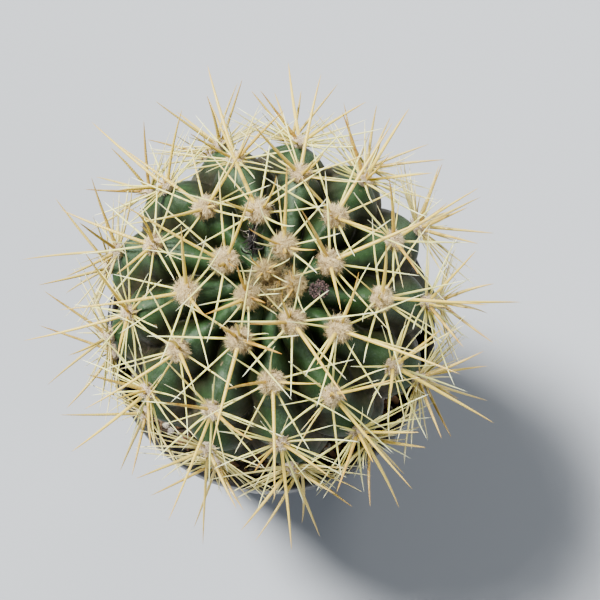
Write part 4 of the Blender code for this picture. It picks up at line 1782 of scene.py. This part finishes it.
@dataclass
class RemnantLook:
    """Dried flower parts that lie between the young areoles."""

    palette: Palette
    strips: int = 110
    strip_length: Range = (0.0010, 0.0028)
    strip_width: Range = (0.00008, 0.00022)
    fibre_width: Range = (0.00004, 0.00007)
    crumbs: int = 420
    crumb_radius: Range = (0.00010, 0.00025)

    def build(self) -> list[bpy.types.Object]:
        """Return both remnants."""
        return [self._shreds("dried_bud_dark"), self._crumbs("dried_bud_grainy")]

    @staticmethod
    def _extent(node: str) -> tuple[np.ndarray, np.ndarray]:
        """Size of a CAD node.

        Args:
            node: The node's name.

        Returns:
            The centre and the half sizes of its box.
        """
        low, high = (np.array(corner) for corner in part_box(node))
        return 0.5 * (low + high), 0.5 * (high - low)

    def _shreds(self, node: str) -> bpy.types.Object:
        """Withered petals: dark curled strips with pale torn fibres.

        Args:
            node: The CAD node that the piece stands for.

        Returns:
            The piece.
        """
        rng = random.Random(Seed.SHREDS)
        centre, half = self._extent(node)
        batch = MeshBatch()
        points, faces = pebble(rng, 1.0, (0.5, 1.0, 0.55), 0.6, 9)
        batch.add(points * half * 0.66 + centre, faces, tone=0.02)
        for k in range(self.strips):
            pale = k % 9 == 0
            offset = np.array([rng.gauss(0.0, 0.20), rng.gauss(0.0, 0.55), rng.gauss(0.0, 0.25)])
            heading = np.array([rng.gauss(0.0, 0.45), rng.gauss(0.0, 1.0), rng.uniform(-0.2, 0.7)])
            heading /= np.linalg.norm(heading)
            length = rng.uniform(*self.strip_length)
            t = np.linspace(0.0, 1.0, 9)[:, None]
            curl = sideways(heading, rng.uniform(0.0, ANY_TURN))
            path = centre + offset * half + heading * length * t
            path = path + curl * length * rng.uniform(0.2, 0.7) * np.sin(2.4 * t)
            width = rng.uniform(*(self.fibre_width if pale else self.strip_width))
            points, faces = tube(path, width * (1.0 - t[:, 0] ** 3), 6, flat=0.45)
            batch.add(points, faces, tone=0.8 if pale else rng.choice((0.0, 0.0, 0.01, 0.03)))
        return settle(batch.build(f"{node}_look", [self.palette.petal]), "dried", node)

    def _crumbs(self, node: str) -> bpy.types.Object:
        """Clump of small dark crumbs.

        Args:
            node: The CAD node that the piece stands for.

        Returns:
            The piece.
        """
        rng = random.Random(Seed.CRUMBS)
        centre, half = self._extent(node)
        batch = MeshBatch()
        for _ in range(self.crumbs):
            spread = np.array([rng.gauss(0.0, 1.0), rng.gauss(0.0, 1.0), rng.gauss(0.0, 1.0)])
            spread /= np.linalg.norm(spread)
            place = centre + spread * half * rng.random() ** 0.35 * np.array([1.0, 0.9, 0.8])
            points, faces = pebble(rng, rng.uniform(*self.crumb_radius), (1.0, 0.75, 0.6), 0.9, 4)
            batch.add(points + place, faces, tone=rng.choice((0.0, 0.05, 0.15, 0.3, 0.6, 1.0)))
        piece = batch.build(f"{node}_look", [self.palette.crumb], sharp=60.0)
        return settle(piece, "dried", node)


@dataclass
class PotLook:
    """The moulded nursery pot."""

    palette: Palette
    height: float = 0.0640
    rim_radius: float = 0.0370
    base_radius: float = 0.0270
    wall: float = 0.0011
    floor: float = 0.0016
    band: float = 0.0075
    projection: float = 0.0016
    lip: float = 0.0010
    base_round: float = 0.0016
    inner_slope: float = 0.0012
    lip_slack: float = 0.0004
    band_draft: float = 0.00018
    band_step: float = 0.00025
    band_round: float = 0.0005
    edge: float = 0.00005
    ledge: float = 0.00012
    ledge_share: float = 0.835
    foot_width: float = 0.0040
    foot_slope: float = 0.0006
    recess: float = 0.00025
    gate_radius: float = 0.0060
    gate_slope: float = 0.0005
    drains: int = 6
    drain_radius: float = 0.0019
    drain_ring: float = 0.0175
    steps: int = 160
    sharp: float = 38.0

    def wall_radius(self, z: float) -> float:
        """Return the wall's outer radius at a height."""
        top = self.rim_radius - self.projection
        return self.base_radius + (top - self.base_radius) * z / self.height

    def profile(self) -> list[tuple[float, float]]:
        """Half section of the pot from the inner floor round to the base.

        Returns:
            Radius and height of each profile point.
        """
        band_z = self.height - self.band
        lip_z = self.height - self.lip
        inner = self.wall_radius(self.floor) - self.wall - self.inner_slope
        points = [(0.0, self.floor), (inner, self.floor)]
        points.append((self.wall_radius(0.003) - self.wall, self.floor + self.inner_slope))
        points.append((self.wall_radius(band_z) - self.wall, band_z))
        points.append((self.rim_radius - 2.0 * self.lip - self.lip_slack, band_z + self.inner_slope))
        for k in range(11):
            angle = math.pi * (1.0 - k / 10.0)
            inward = self.lip * (1.0 - math.cos(angle))
            points.append((self.rim_radius - inward, lip_z + self.lip * math.sin(angle)))
        points.append((self.rim_radius - self.band_draft, band_z + 2.0 * self.band_round))
        for k in range(5):
            angle = 0.5 * math.pi * k / 4.0
            outer = self.rim_radius - self.band_step - self.band_round * (1.0 - math.cos(angle))
            points.append((outer, band_z + self.band_round * (1.0 - math.sin(angle))))
        points.append((self.wall_radius(band_z) + 4.0 * self.edge, band_z - self.edge))
        points.append((self.wall_radius(band_z) - self.edge, band_z - 8.0 * self.edge))
        for share in (0.84, self.ledge_share, 0.83, 0.6, 0.45, 0.3, 0.16):
            z = band_z * share
            ledge = self.ledge if share == self.ledge_share else 0.0
            points.append((self.wall_radius(z) + ledge - self.edge, z))
        for k in range(7):
            angle = -0.5 * math.pi * k / 6.0
            outer = self.base_radius - self.base_round * (1.0 - math.cos(angle))
            points.append((outer, self.base_round * (1.0 + math.sin(angle))))
        points.append((self.base_radius - self.foot_width, 0.0))
        points.append((self.base_radius - self.foot_width - self.foot_slope, self.recess))
        points.append((self.gate_radius + self.gate_slope, self.recess))
        points.append((self.gate_radius, 0.0))
        points.append((0.0, 0.0))
        return points

    def build(self) -> bpy.types.Object:
        """Turn the profile and pierce the drain holes.

        Returns:
            The pot piece.
        """
        points = self.profile()
        mesh = bpy.data.meshes.new("pot_profile")
        mesh.from_pydata([(x, 0.0, z) for x, z in points], [(i, i + 1) for i in range(len(points) - 1)], [])
        turned = add_object("pot_turned", mesh)
        screw = turned.modifiers.new("Turn", "SCREW")
        screw.steps = self.steps
        screw.render_steps = self.steps
        screw.use_merge_vertices = True
        screw.merge_threshold = 0.00001
        cutters = []
        for k in range(self.drains):
            angle = math.tau * (k + 0.5) / self.drains
            place = (self.drain_ring * math.cos(angle), self.drain_ring * math.sin(angle), 0.5 * self.floor)
            bpy.ops.mesh.primitive_cylinder_add(
                vertices=28, radius=self.drain_radius, depth=4.0 * self.floor, location=place
            )
            cutter = bpy.context.object
            cutters.append(cutter)
            cut = turned.modifiers.new(f"Drain {k}", "BOOLEAN")
            cut.operation = "DIFFERENCE"
            cut.object = cutter
        depsgraph = bpy.context.evaluated_depsgraph_get()
        result = bpy.data.meshes.new_from_object(turned.evaluated_get(depsgraph))
        for spare in [turned, *cutters]:
            bpy.data.objects.remove(spare, do_unlink=True)
        result.materials.clear()
        result.materials.append(self.palette.plastic)
        add_values(result, "height", np.array([vertex.co.z for vertex in result.vertices]))
        result.shade_smooth()
        result.set_sharp_from_angle(angle=math.radians(self.sharp))
        return settle(add_object("pot_shell", result), "plastic", "pot")


@dataclass
class EarthLook:
    """Potting mix with its loose bark, perlite and grit."""

    growth: Growth
    pot: PotLook
    palette: Palette
    below_rim: float = 0.0050
    clearance: float = 0.0004
    foot_gap: float = 0.0020
    mound: float = 0.0012
    mound_reach: float = 0.033
    lump: float = 0.0006
    crumb: float = 0.00035
    around: int = 200
    rings: int = 70
    grains: int = 900
    grain_size: Range = (0.00035, 0.00120)
    grain_spread: Range = (0.36, 1.0)  # share of the top's area, from the middle out
    headroom: float = 1.6  # space under the stem that a grain needs, in its own sizes

    @property
    def level(self) -> float:
        """Return the height of the mix at the wall."""
        return self.pot.height - self.below_rim

    def under_stem(self, x: np.ndarray, y: np.ndarray) -> np.ndarray:
        """Height of the smooth globe's underside above a place, in metres.

        Args:
            x: X of each place.
            y: Y of each place.

        Returns:
            The underside's height, or a high value clear of the globe.
        """
        turn = np.array(self.growth.frame().inverted())
        direction = turn[:3, 2]
        origin = np.stack([x, y, np.zeros_like(x)], -1) @ turn[:3, :3].T + turn[:3, 3]
        scale = 1.0 / np.array([self.growth.radius, self.growth.radius, self.growth.half_height])
        o = origin * scale
        d = direction * scale
        a = float(d @ d)
        b = o @ d
        c = np.einsum("ij,ij->i", o, o) - 1.0
        inside = b * b - a * c
        return np.where(inside > 0.0, (-b - np.sqrt(np.maximum(inside, 0.0))) / a, 1.0)

    def surface(self, x: np.ndarray, y: np.ndarray) -> np.ndarray:
        """Height of the mix at each place.

        Args:
            x: X of each place.
            y: Y of each place.

        Returns:
            The heights.
        """
        radius = np.hypot(x, y)
        mound = self.mound * np.clip(1.0 - radius / self.mound_reach, 0.0, 1.0) ** 1.2
        spots = [Vector((px, py, 0.3)) for px, py in zip(x, y)]
        lumps = [self.lump * noise.noise(p * 240.0) + self.crumb * noise.noise(p * 800.0) for p in spots]
        return np.minimum(self.level + mound + np.array(lumps), self.under_stem(x, y) - self.clearance)

    def build(self) -> list[bpy.types.Object]:
        """Make the body of the mix and its loose grains.

        Returns:
            The pieces.
        """
        return [self._body(), *self._loose()]

    @property
    def outer(self) -> float:
        """Return the radius of the mix at its top."""
        return self.pot.wall_radius(self.level) - self.pot.wall - self.clearance

    def _body(self) -> bpy.types.Object:
        """Body of the mix, with a lumpy top that cradles the stem.

        Returns:
            The piece.
        """
        turn = np.arange(self.around) * math.tau / self.around
        radii = self.outer * np.linspace(0.02, 1.0, self.rings)
        x = np.outer(radii, np.cos(turn)).ravel()
        y = np.outer(radii, np.sin(turn)).ravel()
        bottom = self.pot.floor + self.clearance
        low = self.pot.wall_radius(bottom) - self.pot.wall - self.foot_gap
        lower = np.stack([low * np.cos(turn), low * np.sin(turn), np.full(self.around, bottom)], -1)
        points = np.concatenate([np.stack([x, y, self.surface(x, y)], -1), lower])
        faces = band_faces(self.rings + 1, self.around)
        faces.append(list(range(self.around)))
        faces.append([self.rings * self.around + s for s in range(self.around)][::-1])
        batch = MeshBatch()
        batch.add(points, faces)
        piece = batch.build("potting_mix_body", [self.palette.peat], sharp=70.0)
        return settle(piece, "mix", "potting_mix")

    def _loose(self) -> list[bpy.types.Object]:
        """Loose grains, one piece for each kind.

        Returns:
            The pieces.
        """
        rng = random.Random(Seed.GRAINS)
        batches = {grain: MeshBatch() for grain in Grain}
        for _ in range(self.grains):
            grain = rng.choices(tuple(Grain), GRAIN_SHARES)[0]
            size = rng.uniform(*self.grain_size)
            if grain is Grain.BARK:
                size *= 1.25
                stretch = (1.0, rng.uniform(0.5, 0.9), rng.uniform(0.25, 0.5))
            else:
                stretch = (1.0, rng.uniform(0.75, 1.0), rng.uniform(0.6, 0.95))
            radius = min(self.outer * math.sqrt(rng.uniform(*self.grain_spread)), self.outer - size)
            turn = rng.uniform(0.0, math.tau)
            x = np.array([radius * math.cos(turn)])
            y = np.array([radius * math.sin(turn)])
            z = float(self.surface(x, y)[0])
            if float(self.under_stem(x, y)[0]) - z < size * self.headroom:
                continue
            points, faces = pebble(rng, size, stretch, 0.5, 5)
            place = np.array([x[0], y[0], z + size * rng.uniform(0.0, 0.35)])
            batches[grain].add(points + place, faces, tone=rng.random())
        pieces = []
        for grain, batch in batches.items():
            piece = batch.build(f"mix_{grain.value}", [self.palette.grains[grain]], sharp=48.0)
            pieces.append(settle(piece, "mix"))
        return pieces


# ---- studio -----------------------------------------------------------------------------


@dataclass
class Studio:
    """Pale floor, soft lights and the camera."""

    target: Vector
    distance: float = 0.330
    elevation: float = math.radians(74.8)
    field_of_view: float = math.radians(22.1)
    roll: float = math.radians(5.9)
    aim_right: float = 0.0059
    aim_up: float = 0.0010
    floor_size: float = 60.0
    floor_level: float = -0.0002
    floor_colour: Colour = (0.33, 0.350, 0.38)
    horizon: Colour = (1.02, 1.05, 1.09)
    overhead: Colour = (0.175, 0.185, 0.200)
    overhead_from: float = 0.32

    def build(self) -> None:
        """Set up everything round the object."""
        self._floor()
        self._world()
        key = bpy.data.lights.new("key", "SUN")
        key.angle = math.radians(14.0)
        self._light(key, place=(-0.34, 0.20, 0.62), power=13.6, colour=(1.0, 0.985, 0.95))
        fill = bpy.data.lights.new("fill", "AREA")
        fill.shape, fill.size = "DISK", 0.50
        self._light(fill, place=(0.55, -0.30, 0.42), power=2.2, colour=(0.90, 0.95, 1.0))
        rim = bpy.data.lights.new("rim", "AREA")
        rim.shape, rim.size = "DISK", 0.30
        self._light(rim, place=(0.20, 0.62, 0.34), power=2.2, colour=(1.0, 0.98, 0.95))
        self._camera()

    def _floor(self) -> None:
        """Wide pale floor under the pot."""
        bpy.ops.mesh.primitive_plane_add(size=self.floor_size, location=(0.0, 0.0, self.floor_level))
        floor = bpy.context.object
        floor.name = "floor"
        material = bpy.data.materials.new("Pale floor")
        material.use_nodes = True
        shader = material.node_tree.nodes["Principled BSDF"]
        shader.inputs["Base Color"].default_value = (*self.floor_colour, 1.0)
        shader.inputs["Roughness"].default_value = 0.85
        shader.inputs["Specular IOR Level"].default_value = 0.1
        floor.data.materials.append(material)

    def _world(self) -> None:
        """Soft room light, palest near the horizon."""
        world = bpy.data.worlds.new("Soft daylight")
        world.use_nodes = True
        nodes = world.node_tree.nodes
        links = world.node_tree.links
        heading = nodes.new("ShaderNodeTexCoord")
        split = nodes.new("ShaderNodeSeparateXYZ")
        height = nodes.new("ShaderNodeMath")
        height.operation = "ABSOLUTE"
        ramp = nodes.new("ShaderNodeValToRGB")
        low, high = ramp.color_ramp.elements
        low.position = 0.0
        low.color = (*self.horizon, 1.0)
        high.position = self.overhead_from
        high.color = (*self.overhead, 1.0)
        links.new(heading.outputs["Generated"], split.inputs["Vector"])
        links.new(split.outputs["Z"], height.inputs[0])
        links.new(height.outputs["Value"], ramp.inputs["Fac"])
        links.new(ramp.outputs["Color"], nodes["Background"].inputs["Color"])
        bpy.context.scene.world = world

    def _light(self, data: bpy.types.Light, place: Triple, power: float, colour: Colour) -> None:
        """Put a light at a place and point it at the target.

        Args:
            data: The light, whose size is already set.
            place: Where it stands.
            power: Its power, in watts, or for a sun its strength.
            colour: Its colour.
        """
        data.energy = power
        data.color = colour
        item = add_object(data.name, data)
        item.location = place
        item.rotation_euler = (self.target - Vector(place)).to_track_quat("-Z", "Y").to_euler()

    def _camera(self) -> None:
        """Camera a little in front of straight above, with a small roll."""
        data = bpy.data.cameras.new("view")
        data.sensor_width = 36.0
        data.lens = 0.5 * data.sensor_width / math.tan(0.5 * self.field_of_view)
        data.clip_start = 0.01
        data.clip_end = 100.0
        camera = add_object("view", data)
        back = Vector((0.0, -math.cos(self.elevation), math.sin(self.elevation)))
        up = Vector((0.0, math.sin(self.elevation), math.cos(self.elevation)))
        camera.location = self.target + back * self.distance
        aim = self.target + Vector((self.aim_right, 0.0, 0.0)) + up * self.aim_up
        level = (aim - camera.location).to_track_quat("-Z", "Y").to_matrix()
        camera.rotation_euler = (level @ Matrix.Rotation(self.roll, 3, "Z")).to_euler()
        bpy.context.scene.camera = camera


# ---- whole object --------------------------------------------------------------------------


def read_areoles(nodes: dict[str, bpy.types.Object], growth: Growth) -> list[Areole]:
    """Read every areole's spines from its CAD cluster.

    Args:
        nodes: CAD nodes by name.
        growth: The plant's shape.

    Returns:
        The areoles, youngest first.
    """
    areoles = []
    for name, node in sorted(nodes.items()):
        if name.startswith("areole_"):
            areole = Areole(int(name.split("_")[1]), growth, node)
            areole.read()
            areoles.append(areole)
    return areoles


def dress_root(root: bpy.types.Object, palette: Palette) -> bpy.types.Object:
    """Give the CAD root stock its bark.

    Args:
        root: The CAD node, whose shape stays.
        palette: The materials.

    Returns:
        The same node.
    """
    root.data.materials.clear()
    root.data.materials.append(palette.root_bark)
    return root


def report(pieces: list[bpy.types.Object]) -> None:
    """Report finished pieces.

    Args:
        pieces: The pieces.
    """
    for piece in pieces:
        LOG.info("%s: %d faces", piece.name, len(piece.data.polygons))


def main() -> None:
    """Build the plant, its pot and the studio."""
    logging.basicConfig(level=logging.INFO, format="%(name)s: %(message)s")
    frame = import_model()
    growth = Growth()
    palette = Palette()
    areoles = read_areoles(frame["nodes"], growth)
    LOG.info("%d areoles with %d spines", len(areoles), sum(len(areole.spines) for areole in areoles))
    report([StemLook(growth, palette).build(areoles)])
    report([AreoleLook(areole, palette).build() for areole in areoles])
    report([CrownLook(growth, palette).build()])
    report([FootLook(growth, palette).build()])
    report(RemnantLook(palette).build())
    pot = PotLook(palette)
    report([pot.build()])
    report(EarthLook(growth, pot, palette).build())
    report([dress_root(frame["nodes"]["root_stock"], palette)])
    Studio(Vector(growth.centre)).build()


if __name__ == "__main__":
    main()
